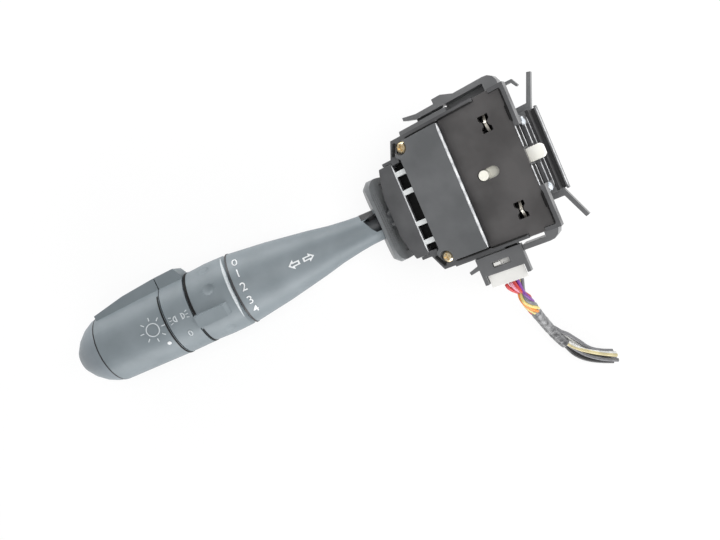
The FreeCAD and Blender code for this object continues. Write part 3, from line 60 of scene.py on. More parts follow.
def in_stalk(along, across, up):
    """Row-frame point of a place in the stalk's frame, given in metres."""
    turned = (along * YAW_COS - across * YAW_SIN, along * YAW_SIN + across * YAW_COS, up)
    return PIVOT + Vector(turned)


# Pieces and meshes

def link_object(name, data):
    obj = bpy.data.objects.new(name, data)
    scene.collection.objects.link(obj)
    return obj


def add_piece(name, mesh, body, *materials):
    """Put a mesh in the scene as a piece that moves with a body."""
    for mat in materials:
        mesh.materials.append(mat)
    piece = link_object(name, mesh)
    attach(piece, body)
    return piece


def new_mesh(name, verts, faces):
    mesh = bpy.data.meshes.new(name)
    mesh.from_pydata(verts, [], faces)
    return mesh


def mesh_of(name, work):
    """Mesh made from a finished bmesh."""
    mesh = bpy.data.meshes.new(name)
    work.to_mesh(mesh)
    work.free()
    return mesh


def mesh_of_curve(curve):
    holder = link_object(curve.name, curve)
    bpy.context.view_layer.update()
    mesh = bpy.data.meshes.new_from_object(holder)
    bpy.data.objects.remove(holder)
    return mesh


def surface_of(name):
    """Search tree of a CAD node's surface, for rays."""
    mesh = NODES[name].data
    corners = [v.co.copy() for v in mesh.vertices]
    faces = [tuple(p.vertices) for p in mesh.polygons]
    return BVHTree.FromPolygons(corners, faces)


def frames_along(line):
    """Side vectors that don't twist, one pair for each point of the line."""
    pairs = []
    tangent = (line[1] - line[0]).normalized()
    side = tangent.cross(UP).normalized()
    for i in range(len(line)):
        ahead = line[min(i + 1, len(line) - 1)] - line[max(i - 1, 0)]
        ahead.normalize()
        side = (side - ahead * side.dot(ahead)).normalized()
        pairs.append((side, ahead.cross(side).normalized()))
    return pairs


def add_tube(work, spots, radii, sides, material_index=0):
    """Closed tube through the spots. A radius is a length, or a function of the angle round it."""
    rings = []
    for spot, radius, (side, up) in zip(spots, radii, frames_along(spots)):
        ring = []
        for k in range(sides):
            a = math.tau * k / sides
            reach = radius(a) if callable(radius) else radius
            ring.append(work.verts.new(spot + (side * math.cos(a) + up * math.sin(a)) * reach))
        rings.append(ring)
    for a, b in zip(rings, rings[1:]):
        for k in range(sides):
            face = work.faces.new((a[k], a[(k + 1) % sides], b[(k + 1) % sides], b[k]))
            face.material_index = material_index
            face.smooth = True
    for end in (rings[0][::-1], rings[-1]):
        work.faces.new(end).material_index = material_index


# Materials: sizes in metres, roughness from 0 to 1

GLOSS_DRIFT = 0.07
COAT_ROUGHNESS = 0.14
NOISE_LOW, NOISE_HIGH = 0.35, 0.65
METAL_GRAIN = 0.0008
PRINT_WEAR = 0.0006


def node(tree, kind, settings=None, **inputs):
    made = tree.nodes.new(kind)
    for key, value in (settings or {}).items():
        setattr(made, key, value)
    for key, value in inputs.items():
        made.inputs[key.replace("_", " ")].default_value = value
    return made


def new_material(name):
    mat = bpy.data.materials.new(name)
    mat.use_nodes = True
    tree = mat.node_tree
    shader = tree.nodes["Principled BSDF"]
    place = node(tree, "ShaderNodeTexCoord").outputs["Object"]
    return mat, tree, shader, place


def cloud(tree, place, size, detail):
    """A noise whose patches are about one size."""
    made = node(tree, "ShaderNodeTexNoise", Scale=1 / size, Detail=detail)
    tree.links.new(place, made.inputs["Vector"])
    return made.outputs["Fac"]


def mottle(tree, place, size, low, high):
    """A noise that runs between two colours."""
    ramp = node(tree, "ShaderNodeValToRGB")
    start, end = ramp.color_ramp.elements
    start.position, end.position = NOISE_LOW, NOISE_HIGH
    start.color, end.color = (*low, 1), (*high, 1)
    tree.links.new(cloud(tree, place, size, 3.0), ramp.inputs["Fac"])
    return ramp.outputs["Color"]


def spread(tree, place, size, low, high):
    """A noise that runs between two values."""
    span = node(tree, "ShaderNodeMapRange", To_Min=low, To_Max=high)
    tree.links.new(cloud(tree, place, size, 2.0), span.inputs["Value"])
    return span.outputs["Result"]


def grain_bump(tree, place, shader, size, depth, strength):
    bump = node(tree, "ShaderNodeBump", Strength=strength, Distance=depth)
    tree.links.new(cloud(tree, place, size, 4.0), bump.inputs["Height"])
    tree.links.new(bump.outputs["Normal"], shader.inputs["Normal"])


def moulded(name, low, high, rough, grain=0.0005, depth=0.00004, patch=0.014, polish=0.0,
            shine=0.5):
    """Injection-moulded plastic: slow colour drift, uneven gloss and a fine spark-eroded grain.
    Also makes the materials for painted shade and painted highlights.
    """
    mat, tree, shader, place = new_material(name)
    shader.inputs["Specular IOR Level"].default_value = shine
    if polish:
        shader.inputs["Coat Weight"].default_value = polish
        shader.inputs["Coat Roughness"].default_value = COAT_ROUGHNESS
    gloss = spread(tree, place, patch / 3, rough - GLOSS_DRIFT, rough + GLOSS_DRIFT)
    tree.links.new(mottle(tree, place, patch, low, high), shader.inputs["Base Color"])
    tree.links.new(gloss, shader.inputs["Roughness"])
    grain_bump(tree, place, shader, grain, depth, 0.5)
    return mat


def metal(name, low, high, rough):
    mat, tree, shader, place = new_material(name)
    shader.inputs["Metallic"].default_value = 1.0
    gloss = spread(tree, place, METAL_GRAIN, rough - 0.08, rough + 0.1)
    tree.links.new(mottle(tree, place, METAL_GRAIN * 3, low, high), shader.inputs["Base Color"])
    tree.links.new(gloss, shader.inputs["Roughness"])
    grain_bump(tree, place, shader, METAL_GRAIN / 4, 0.00002, 0.3)
    return mat


def ink(name, colour):
    """Printed marking: slightly uneven and worn; the faint one also serves as a painted highlight.
    """
    mat, tree, shader, place = new_material(name)
    worn = tuple(c * 0.8 for c in colour)
    tree.links.new(mottle(tree, place, PRINT_WEAR, worn, colour), shader.inputs["Base Color"])
    shader.inputs["Roughness"].default_value = 0.5
    return mat


def insulation(name, colour):
    low = tuple(c * 0.75 for c in colour)
    return moulded(name, low, colour, 0.35, grain=0.0008, patch=0.004)


STALK = moulded("stalk_grained_plastic", (0.152, 0.18, 0.196), (0.184, 0.214, 0.232), 0.5)
STALK_DARK = moulded("cap_grained_plastic", (0.19, 0.218, 0.24), (0.225, 0.256, 0.28), 0.46)
SHROUD = moulded("shroud_satin_plastic", (0.15, 0.158, 0.164), (0.195, 0.203, 0.21), 0.42,
                 grain=0.0008)
ARM = moulded("arm_satin_plastic", (0.05, 0.054, 0.059), (0.075, 0.08, 0.086), 0.45, grain=0.0008)
HOUSING = moulded("housing_satin_plastic", (0.065, 0.066, 0.069), (0.095, 0.096, 0.1), 0.4,
                  grain=0.0009, polish=0.5)
COVER = moulded("cover_matt_plastic", (0.088, 0.092, 0.096), (0.118, 0.122, 0.127), 0.46,
                grain=0.0006, polish=0.6)
PLATE = moulded("plate_satin_plastic", (0.052, 0.049, 0.049), (0.082, 0.078, 0.078), 0.36,
                grain=0.0011, polish=0.4)
FRAME = moulded("frame_satin_plastic", (0.13, 0.132, 0.136), (0.175, 0.178, 0.183), 0.38,
                grain=0.0009, polish=0.3)
# Black for painted shade: pieces in it make seams, gaps, recesses and the comb's slot dark.
SHADE_BLACK = moulded("painted_shade_black", (0.008, 0.008, 0.008), (0.016, 0.016, 0.016), 0.6,
                      grain=0.0009, shine=0.12)
# Dark for painted shade: on the frame's end, in the latch gap, in the stalk's seams and at its
# neck.
SHADE_DARK = moulded("painted_shade_dark", (0.02, 0.02, 0.021), (0.034, 0.034, 0.036), 0.5,
                grain=0.0009)
NYLON = moulded("pawl_nylon", (0.87, 0.85, 0.75), (0.93, 0.92, 0.86), 0.4, grain=0.0004)
COMB = moulded("comb_nylon", (0.6, 0.62, 0.62), (0.74, 0.76, 0.76), 0.4, grain=0.0004)
INNER = moulded("carrier_nylon", (0.48, 0.47, 0.4), (0.6, 0.59, 0.52), 0.42)
BOARD = moulded("board_laminate", (0.16, 0.08, 0.03), (0.24, 0.13, 0.05), 0.45, grain=0.0007)
PLUG = moulded("plug_plastic", (0.84, 0.83, 0.8), (0.92, 0.91, 0.88), 0.42, grain=0.0004)
TAPE = moulded("loom_tape", (0.07, 0.07, 0.073), (0.23, 0.232, 0.238), 0.36, grain=0.0016,
               depth=0.0001, patch=0.0022)
# Pale for painted highlights along the housing's edges.
EDGE_HIGHLIGHT = moulded("painted_edge_highlight", (0.5, 0.51, 0.53), (0.86, 0.87, 0.88), 0.24, grain=0.0006,
                 patch=0.003)
GREASE = moulded("pale_grease", (0.5, 0.55, 0.6), (0.8, 0.84, 0.88), 0.28, grain=0.0007,
                 depth=0.0001, patch=0.0015)
BRASS = metal("screw_brass", (0.78, 0.6, 0.34), (0.96, 0.84, 0.6), 0.38)
COPPER = metal("contact_metal", (0.35, 0.24, 0.14), (0.62, 0.46, 0.3), 0.3)
LEAF = metal("leaf_metal", (0.62, 0.58, 0.5), (0.86, 0.83, 0.76), 0.34)
STEEL = metal("turned_steel", (0.42, 0.42, 0.43), (0.58, 0.58, 0.6), 0.3)
WHITE_INK = ink("white_print", (0.74, 0.76, 0.77))
# Faint print; also the painted highlight on the levelling ring's rim.
FAINT_INK_AND_HIGHLIGHT = ink("faint_print_and_painted_highlight", (0.55, 0.59, 0.61))
WIRE_COLOURS = {
    "black": (0.015, 0.015, 0.016), "white": (0.7, 0.7, 0.68), "red": (0.5, 0.03, 0.03),
    "purple": (0.2, 0.05, 0.3), "pink": (0.65, 0.25, 0.35), "orange": (0.75, 0.25, 0.03),
    "yellow": (0.7, 0.58, 0.2), "grey": (0.17, 0.17, 0.18), "straw": (0.6, 0.52, 0.28)}
WIRES = [insulation("wire_" + tag, colour) for tag, colour in WIRE_COLOURS.items()]


# Dressing the CAD nodes

SHARP = math.radians(32)
FLAT = math.radians(0.5)


def soft_edge_group():
    """Node group that shades smooth except across sharp edges."""
    group = bpy.data.node_groups.new("shade_by_angle", "GeometryNodeTree")
    for way in ("INPUT", "OUTPUT"):
        group.interface.new_socket("Geometry", in_out=way, socket_type="NodeSocketGeometry")
    start = group.nodes.new("NodeGroupInput")
    end = group.nodes.new("NodeGroupOutput")
    faces = node(group, "GeometryNodeSetShadeSmooth", {"domain": "FACE"})
    edges = node(group, "GeometryNodeSetShadeSmooth", {"domain": "EDGE"})
    angle = group.nodes.new("GeometryNodeInputMeshEdgeAngle")
    test = node(group, "FunctionNodeCompare", {"data_type": "FLOAT", "operation": "LESS_THAN"})
    test.inputs[1].default_value = SHARP
    link = group.links.new
    link(start.outputs[0], faces.inputs["Geometry"])
    link(faces.outputs[0], edges.inputs["Geometry"])
    link(angle.outputs["Unsigned Angle"], test.inputs[0])
    link(test.outputs[0], edges.inputs["Shade Smooth"])
    link(edges.outputs[0], end.inputs[0])
    return group


SHADE = soft_edge_group()


def round_edges(obj, bevel):
    """Bevel of a width in millimetres."""
    edge = obj.modifiers.new("edge_round", "BEVEL")
    edge.width = bevel * MM
    edge.segments = 2
    return edge


def dress(name, mat, bevel):
    """Give a CAD node its material and its edges, rounded by a bevel in millimetres."""
    obj = NODES[name]
    obj.data.materials.clear()
    obj.data.materials.append(mat)
    custom = obj.data.attributes.get("custom_normal")
    if custom:
        obj.data.attributes.remove(custom)
    weld = obj.modifiers.new("join_seams", "WELD")
    weld.merge_threshold = 1e-6
    if bevel:
        flat = obj.modifiers.new("merge_flats", "DECIMATE")
        flat.decimate_type = "DISSOLVE"
        flat.angle_limit = FLAT
        edge = round_edges(obj, bevel)
        edge.limit_method = "ANGLE"
        edge.angle_limit = SHARP
        edge.use_clamp_overlap = True
    shade = obj.modifiers.new("shade_by_angle", "NODES")
    shade.node_group = SHADE
    even = obj.modifiers.new("even_normals", "WEIGHTED_NORMAL")
    even.keep_sharp = True


FINISH = (
    (STALK, {"stalk_body": 0, "levelling_ring": 0.2, "index_collar": 0.2, "light_knob": 0.2}),
    (STALK_DARK, {"knob_end_cap": 0.3}),
    (ARM, {"lever_arm": 0}),
    (SHROUD, {"pivot_shroud": 0.25}),
    (HOUSING, {"stalk_lead": 0, "switch_housing": 0.2, "front_hood": 0.4, "housing_base": 0.3}),
    (COVER, {"screw_cover": 0.3}),
    (PLATE, {"contact_plate": 0.15}),
    (FRAME, {"mounting_frame": 0.25, "connector_socket": 0.2}),
    (PLUG, {"connector_plug": 0.15}),
    (COMB, {"bearing_comb": 0.15}),
    (NYLON, {"cancel_pawl": 0.25}),
    (INNER, {"light_contact_rotor": 0, "turn_carrier": 0, "detent_track": 0, "contact_slider": 0}),
    (BOARD, {"light_contact_board": 0}),
    (BRASS, {"cover_screws": 0.1}),
    (LEAF, {"contact_springs": 0.05}),
    (COPPER, {"socket_pins": 0, "slider_wipers": 0, "contact_strips": 0, "level_track": 0,
              "level_wiper": 0}),
    (STEEL, {"light_shaft": 0, "shaft_clip": 0, "turn_pivot_pin": 0, "dip_pivot_pin": 0,
             "dip_return_spring": 0, "detent_plunger": 0, "detent_spring": 0, "pawl_spring": 0,
             "light_detent_pin": 0, "light_detent_spring": 0, "ring_detent_pin": 0,
             "ring_detent_spring": 0}))
for mat, bevels in FINISH:
    for name, bevel in bevels.items():
        dress(name, mat, bevel)


# Prints, and bands of painted shade and painted highlight, laid on the stalk by rays towards its
# axis.
# They are drawn as flat meshes whose x runs along the stalk and whose y runs round it, in metres
# from its top line.

PRINT_LIFT = 0.00005
PRINT_DEPTH = 0.00012
PRINT_LINE = 0.0004
LONGEST_EDGE = 0.0006
TOO_CLOSE = 2e-6
SPLIT_ROUNDS = 3
RAY_START = 0.03
DIGIT_SHARE = 0.69
DIGIT_SWELL = 0.00001


def lay_round_stalk(name, shapes, carrier, body, mat):
    """Bend flat shapes round the stalk, set them on a node and make them one thin piece."""
    skin = surface_of(carrier)
    work = bmesh.new()
    for shape in shapes:
        work.from_mesh(shape)
        bpy.data.meshes.remove(shape)
    bmesh.ops.triangulate(work, faces=work.faces[:])
    for _ in range(SPLIT_ROUNDS):
        long_edges = [e for e in work.edges if e.calc_length() > LONGEST_EDGE]
        if not long_edges:
            break
        bmesh.ops.subdivide_edges(work, edges=long_edges, cuts=1)
        bmesh.ops.triangulate(work, faces=work.faces[:])
    bmesh.ops.remove_doubles(work, verts=work.verts[:], dist=TOO_CLOSE)
    bmesh.ops.dissolve_degenerate(work, edges=work.edges[:], dist=TOO_CLOSE)
    outwards = {}
    for vert in work.verts:
        angle = vert.co.y / STALK_RADIUS
        foot = in_stalk(vert.co.x, 0, 0)
        outward = in_stalk(vert.co.x, math.sin(angle), math.cos(angle)) - foot
        hit = skin.ray_cast(foot + outward * RAY_START, -outward)[0]
        vert.co = (hit or foot + outward * STALK_RADIUS) + outward * PRINT_LIFT
        outwards[vert] = outward
    made = bmesh.ops.extrude_face_region(work, geom=work.faces[:])["geom"]
    for vert in (item for item in made if isinstance(item, bmesh.types.BMVert)):
        near = min(outwards, key=lambda v: (v.co - vert.co).length_squared)
        vert.co += outwards[near] * PRINT_DEPTH
    bmesh.ops.recalc_face_normals(work, faces=work.faces[:])
    add_piece(name, mesh_of(name, work), body, mat)


def round_from_top(degrees):
    """Distance round the stalk for an angle from its top line, towards the far side."""
    return math.radians(degrees) * STALK_RADIUS


def band_faces(steps):
    """Quads of a band whose corners come in pairs."""
    return [(2 * i, 2 * i + 1, 2 * i + 3, 2 * i + 2) for i in range(steps)]


def flat_bar(x, y, angle, length, width):
    """Bar from a point, running out at an angle."""
    along = Vector((math.cos(angle), math.sin(angle)))
    side = Vector((-along.y, along.x)) * width / 2
    start = Vector((x, y))
    end = start + along * length
    corners = (start - side, end - side, end + side, start + side)
    return new_mesh("bar", [(u, v, 0) for u, v in corners], [range(4)])


def flat_ring(x, y, radius, width, start=0.0, sweep=math.tau, steps=28):
    """Arc band round a point."""
    verts = []
    for i in range(steps + 1):
        a = start + sweep * i / steps
        for r in (radius - width / 2, radius + width / 2):
            verts.append((x + r * math.cos(a), y + r * math.sin(a), 0))
    return new_mesh("ring", verts, band_faces(steps))


def flat_strip(first, last, low, high, drawn_out=0.0):
    """Strip from first to last along the stalk and between two angles from the top. Its ends
    narrow towards first over a share of its length."""
    steps, tip = 60, 0.12
    verts = []
    for i in range(steps + 1):
        y = round_from_top(low + (high - low) * i / steps)
        to_end = min(i, steps - i) / steps
        width = 1 if to_end >= drawn_out else tip + (1 - tip) * to_end / drawn_out
        verts += [(first, y, 0), (first + (last - first) * width, y, 0)]
    return new_mesh("strip", verts, band_faces(steps))


def flat_digit(text, x, y, height):
    curve = bpy.data.curves.new("digit", "FONT")
    curve.body = text
    curve.size = height / DIGIT_SHARE
    curve.align_x = "CENTER"
    curve.align_y = "CENTER"
    curve.offset = DIGIT_SWELL
    mesh = mesh_of_curve(curve)
    for vert in mesh.vertices:
        vert.co.x += x
        vert.co.y += y
    return mesh


ARROW_OUTER = ((0, 0), (0.0023, 0.0026), (0.0023, 0.0012), (0.0048, 0.0012), (0.0048, -0.0012),
               (0.0023, -0.0012), (0.0023, -0.0026))
ARROW_INNER = ((0.0009, 0), (0.0016, 0.0009), (0.0016, 0.0005), (0.0041, 0.0005),
               (0.0041, -0.0005), (0.0016, -0.0005), (0.0016, -0.0009))


def flat_arrow(x, y, way):
    """Outlined arrow, drawn as a band between its outer and inner outlines."""
    verts = [(x + way * u, y + v, 0) for u, v in ARROW_OUTER + ARROW_INNER]
    count = len(ARROW_OUTER)
    faces = [(i, (i + 1) % count, count + (i + 1) % count, count + i) for i in range(count)]
    return new_mesh("arrow", verts, faces)


def lamp_symbol(x, y):
    """Ring with eight rays."""
    radius, ray_start, ray_length = 0.0026, 0.0038, 0.0015
    shapes = [flat_ring(x, y, radius, PRINT_LINE)]
    for i in range(8):
        way = math.radians(45 * i)
        shapes.append(flat_bar(x + ray_start * math.cos(way), y + ray_start * math.sin(way), way,
                               ray_length, PRINT_LINE))
    return shapes


def side_light_symbol(x, y):
    """Two half lamps, back to back, with three rays each."""
    half_gap, radius, half_height = 0.0012, 0.0011, 0.0013
    ray_start, ray_apart, ray_turn, ray_length, ray_width = 0.0017, 0.0011, 0.35, 0.0011, 0.0003
    shapes = []
    for way in (-1, 1):
        facing = math.pi / 2 * (1 - way)
        centre = x + way * half_gap
        shapes.append(flat_ring(centre, y, radius, PRINT_LINE, facing - math.pi / 2, math.pi, 14))
        shapes.append(flat_bar(centre, y - half_height, math.pi / 2, half_height * 2, PRINT_LINE))
        for step in (-1, 0, 1):
            shapes.append(flat_bar(centre + way * ray_start, y + step * ray_apart,
                                   facing + way * step * ray_turn, ray_length, ray_width))
    return shapes


LEVEL_ANGLES = (42, 21.4, -1, -23.5, -42)
digits = [flat_digit(str(i), -0.0751, round_from_top(angle), 0.0035)
          for i, angle in enumerate(LEVEL_ANGLES)]
arrows = [flat_arrow(-0.0561, -0.0006, 1), flat_arrow(-0.0450, -0.0006, -1)]
zero = [flat_digit("0", -0.1022, -0.0084, 0.0026)]
dot = [flat_ring(-0.1115, -0.0084, 0.0004, 0.0008)]
lamp = lamp_symbol(-0.1145, -0.0006)
side_light = side_light_symbol(-0.1031, -0.0004)
for name, shapes, carrier, body, mat in (
        ("level_digits", digits, "stalk_body", "lever", WHITE_INK),
        ("turn_arrows", arrows, "stalk_body", "lever", WHITE_INK),
        ("lamp_symbol", lamp, "light_knob", "light_control", FAINT_INK_AND_HIGHLIGHT),
        ("knob_dot", dot, "light_knob", "light_control", WHITE_INK),
        ("side_light_symbol", side_light, "index_collar", "lever", FAINT_INK_AND_HIGHLIGHT),
        ("collar_zero", zero, "index_collar", "lever", FAINT_INK_AND_HIGHLIGHT)):
    lay_round_stalk(name, shapes, carrier, body, mat)

# Painted shade in the seams, left open where the ring's pointer stands, and at the stalk's neck; a
# painted highlight on the ring's rim
for name, strips, carrier, body, mat in (
        ("ring_seam_painted_shade", ((-0.0974, -0.0964, -8, 120), (-0.0974, -0.0969, -170, -34)),
         "levelling_ring", "level_control", SHADE_BLACK),
        # Painted highlight: a pale band where the ring's edge catches light
        ("ring_rim_painted_highlight", ((-0.0807, -0.0796, -44, 66, 0.3),),
         "levelling_ring", "level_control", FAINT_INK_AND_HIGHLIGHT),
        ("stalk_seam_painted_shade", ((-0.0788, -0.0782, -170, 170),), "stalk_body", "lever", SHADE_DARK),
        ("knob_seam_painted_shade", ((-0.1091, -0.1085, -150, 44),), "light_knob", "light_control", SHADE_BLACK),
        ("cap_seam_painted_shade", ((-0.1382, -0.1378, -120, 120),), "knob_end_cap", "light_control", SHADE_DARK),
        # Painted shade on the neck, over the notch
        ("neck_shade", ((-0.0219, -0.016, 38, 84),), "stalk_body", "lever", SHADE_DARK)):
    lay_round_stalk(name, [flat_strip(*strip) for strip in strips], carrier, body, mat)


# Fine ribs across the pivot shroud, laid on it from above

RIB_PLACES = (-0.014, -0.0131, -0.0122, -0.0113)
RIB_RADIUS, RIB_TIP = 0.0002, 0.3
RIB_START, RIB_STEP, RIB_SPOTS = -0.012, 0.0006, 41
RIB_TAPER_SPOTS = 12

shroud_skin = surface_of("pivot_shroud")
ribs = bmesh.new()
for along in RIB_PLACES:
    above = [in_stalk(along, RIB_START + RIB_STEP * i, RAY_START) for i in range(RIB_SPOTS)]
    hits = [shroud_skin.ray_cast(spot, -UP)[0] for spot in above]
    spots = [hit for hit in hits if hit]
    last = len(spots) - 1
    tapered = min(RIB_TAPER_SPOTS, len(spots) // 4)
    radii = [RIB_RADIUS * min(1, RIB_TIP + (1 - RIB_TIP) * min(i, last - i) / tapered)
             for i in range(len(spots))]
    add_tube(ribs, spots, radii, 8)
add_piece("shroud_ribs", mesh_of("shroud_ribs", ribs), "lever", HOUSING)


# Painted highlights along edges and painted shade in gaps on the housing, as thin strips; all in
# housing millimetres

STRIP_STEPS = 60
STRIP_TIP, STRIP_SWELL = 0.15, 14
STRIP_UNEVENNESS, UNEVEN_PATCHES, UNEVEN_SEED = 0.3, 17, 9000


def edge_strip(name, start, finish, radius, mat):
    """Rounded strip between two places, uneven and drawn out at both ends."""
    first, last = in_housing(*start), in_housing(*finish)
    spots, radii = [], []
    for i in range(STRIP_STEPS + 1):
        share = i / STRIP_STEPS
        taper = min(1, share * STRIP_SWELL + STRIP_TIP, (1 - share) * STRIP_SWELL + STRIP_TIP)
        patch = noise.noise(Vector((share * UNEVEN_PATCHES, radius * UNEVEN_SEED, 0)))
        spots.append(first.lerp(last, share))
        radii.append(radius * MM * taper * (1 + STRIP_UNEVENNESS * patch))
    strip = bmesh.new()
    add_tube(strip, spots, radii, 10)
    add_piece(name, mesh_of(name, strip), "housing", mat)


# Painted highlights: pale strips along edges that face the light
# Name, place along, place out, from and to across, radius
for name, along, out, first, last, radius in (
        ("cover_edge_painted_highlight", 28.25, 13.25, -25.1, 25.1, 0.5),
        ("hood_edge_painted_highlight", 4.0, 11.05, -19.0, 19.0, 0.28),
        ("rim_edge_painted_highlight_lower", 53.7, 10.9, -11.6, -3.4, 0.2),
        ("rim_edge_painted_highlight_upper", 53.7, 10.9, 3.4, 11.6, 0.2),
        ("wall_edge_painted_highlight_lower", 53.8, 5.5, -11.6, -3.4, 0.17),
        ("wall_edge_painted_highlight_upper", 53.8, 5.5, 3.4, 11.6, 0.17),
        ("slat_edge_painted_highlight_lower", 55.1, 2.2, -11.6, -3.4, 0.18),
        ("slat_edge_painted_highlight_upper", 55.1, 2.2, 3.4, 11.6, 0.18),
        ("end_edge_painted_highlight", 55.2, -4.8, -13.9, 13.9, 0.17),
        ("lip_edge_painted_highlight", 58.6, -9.95, -16.4, 16.4, 0.24)):
    edge_strip(name, (along, first, out), (along, last, out), radius, EDGE_HIGHLIGHT)

# Painted shade: black strips in the gaps beside the cover and the plate
# Name, start and finish, radius; one on each side of the middle
for name, ends, radius in (
        ("corner_gap_painted_shade_", ((6.2, 21.3, 11.2), (8.9, 26.2, 11.2)), 0.6),
        ("cover_gap_painted_shade_", ((13.6, 25.8, 11.3), (27.9, 25.8, 11.3)), 0.5),
        ("plate_gap_painted_shade_", ((28.4, 26.1, 11.0), (43.0, 26.1, 11.0)), 0.36),
        ("plate_end_gap_painted_shade_", ((53.5, 13.0, 11.0), (53.5, 26.0, 11.0)), 0.3),
        ("plate_end_notch_painted_shade_", ((53.3, 13.8, 10.8), (53.3, 19.6, 10.8)), 0.6)):
    for tag, way in SIDES:
        start, finish = ((along, way * across, out) for along, across, out in ends)
        edge_strip(name + tag, start, finish, radius, SHADE_BLACK)


# Painted shade in the housing's recesses and gaps, as thin dark plates; all in housing millimetres

def plate_piece(name, corners, levels, mat, bevel):
    """Flat piece from an outline in the housing's plane, between two levels."""
    verts = [in_housing(along, across, level) for level in levels for along, across in corners]
    count = len(corners)
    faces = [tuple(range(count - 1, -1, -1)), tuple(range(count, 2 * count))]
    faces += [(i, (i + 1) % count, (i + 1) % count + count, i + count) for i in range(count)]
    round_edges(add_piece(name, new_mesh(name, verts, faces), "housing", mat), bevel)


# Name, reach along, reach across, levels, material, bevel
for name, (near, far), (first, last), levels, mat, bevel in (
        ("recess_shade_lower", (53.62, 53.8), (-11.3, -3.3), (2.5, 10.5), SHADE_BLACK, 0.04),
        ("recess_shade_upper", (53.62, 53.8), (3.3, 11.3), (2.5, 10.5), SHADE_BLACK, 0.04),
        ("slat_shade", (53.62, 53.8), (-11.3, 11.3), (-4.6, 0.8), SHADE_BLACK, 0.04),
        ("block_shade_top", (55.3, 56.48), (-16.2, 16.2), (-5.0, -4.92), SHADE_DARK, 0.03),
        ("block_shade_wall", (56.4, 56.48), (-16.2, 16.2), (-12.4, -4.95), SHADE_DARK, 0.03),
        ("shelf_shade", (56.45, 57.85), (-16.2, 16.2), (-10.7, -10.6), SHADE_DARK, 0.03),
        ("latch_gap_shade", (12.5, 25.0), (31.7, 34.6), (-12.45, -12.2), SHADE_DARK, 0.05),
        ("rail_gap_shade", (28.6, 34.4), (-31.0, -29.6), (-4.98, -4.88), SHADE_BLACK, 0.03)):
    corners = [(near, first), (far, first), (far, last), (near, last)]
    plate_piece(name, corners, levels, mat, bevel)

# Painted shade in the comb's slot: a black sheet under the comb, with a lip at each finger
shade_outline = [(2.2, -17.58), (4.4, -17.58), (4.4, -18.2), (8.2, -18.2)]
shade_outline += [(8.2, 18.2), (4.4, 18.2), (4.4, 17.58), (2.2, 17.58)]
for finger in (14.6, 6.7, -6.7, -14.6):
    shade_outline += [(2.2, finger + 1.4), (1.9, finger + 1.1), (1.9, finger - 1.1), (2.2, finger - 1.4)]
plate_piece("slot_painted_shade", shade_outline, (7.2, 7.7), SHADE_BLACK, 0.1)


# Grease left at the column end

def smear(name, place, spans, seed):
    """Uneven blob on a corner of the housing; place and spans in housing millimetres."""
    lumps, lump_scale = 0.55, 1.6
    ripples, ripple_scale = 0.16, 5
    blob = bmesh.new()
    bmesh.ops.create_icosphere(blob, subdivisions=4, radius=1.0)
    for vert in blob.verts:
        way = vert.co.normalized()
        swell = 1 + lumps * noise.noise(way * lump_scale + Vector((seed, 0, 0)))
        swell += ripples * noise.noise(way * ripple_scale + Vector((0, seed, 0)))
        vert.co = in_housing(*(p + w * swell * span for p, w, span in zip(place, way, spans)))
    for face in blob.faces:
        face.smooth = True
    add_piece(name, mesh_of(name, blob), "housing", GREASE)


smear("grease_upper", (55.0, 12.7, 3.0), (0.6, 1.6, 3.0), 2.0)
smear("grease_lower", (55.0, -13.2, 3.0), (0.6, 1.6, 2.9), 7.0)


# Wire loom. A mark is a share of its length, from 0 at the plug to 1 at the cut end.

# Along and across the table from the dip pivot, and up from the table, in millimetres
LOOM_ROUTE = ((26.3, -43.5, 20.5), (28.0, -52.4, 18.2), (31.7, -60.7, 11.0), (35.9, -71.3, 5.0),
              (40.8, -82.9, 2.8), (49.2, -92.2, 2.8), (59.8, -97.2, 2.8))
TOP_RADIUS, TOP_REACH, TOP_TURNS, TOP_FREE_MARK = 0.0008, 0.0018, -2.1, 0.15
LOWER_RADIUS, LOWER_SPLAY_SPAN, LOWER_SWAY = 0.00088, 0.3, 0.0005
TAPE_START, TAPE_END, TAPE_OVERLAP = 0.265, 0.69, 0.03
TAPE_RADIUS, TAPE_LAP, TAPE_CREASE, TAPE_WINDINGS = 0.0022, 0.00016, 0.00012, 19
WIRE_SIDES, TAPE_SIDES = 8, 24

# Share by which a wire wobbles, and the number that seeds each colour's wobble
WOBBLE = 0.1
WOBBLE_SEEDS = {"black": 0, "white": 1, "red": 2, "purple": 3, "pink": 4, "orange": 5,
                "yellow": 6, "grey": 8, "straw": 9}


def route_line(points):
    """Points along the smooth line that a NURBS spline makes of the route."""
    curve = bpy.data.curves.new("route", "CURVE")
    curve.dimensions = "3D"
    curve.resolution_u = 40
    spline = curve.splines.new("NURBS")
    spline.points.add(len(points) - 1)
    for target, spot in zip(spline.points, points):
        target.co = (PIVOT.x + spot[0] * MM, PIVOT.y + spot[1] * MM, spot[2] * MM, 1)
    spline.order_u = 3
    spline.use_endpoint_u = True
    mesh = mesh_of_curve(curve)
    line = [v.co.copy() for v in mesh.vertices]
    bpy.data.meshes.remove(mesh)
    return line


loom_line = route_line(LOOM_ROUTE)
loom_frames = frames_along(loom_line)
marks = [i / (len(loom_line) - 1) for i in range(len(loom_line))]
loom = bmesh.new()


def ease(share):
    share = min(max(share, 0), 1)
    return share * share * (3 - 2 * share)


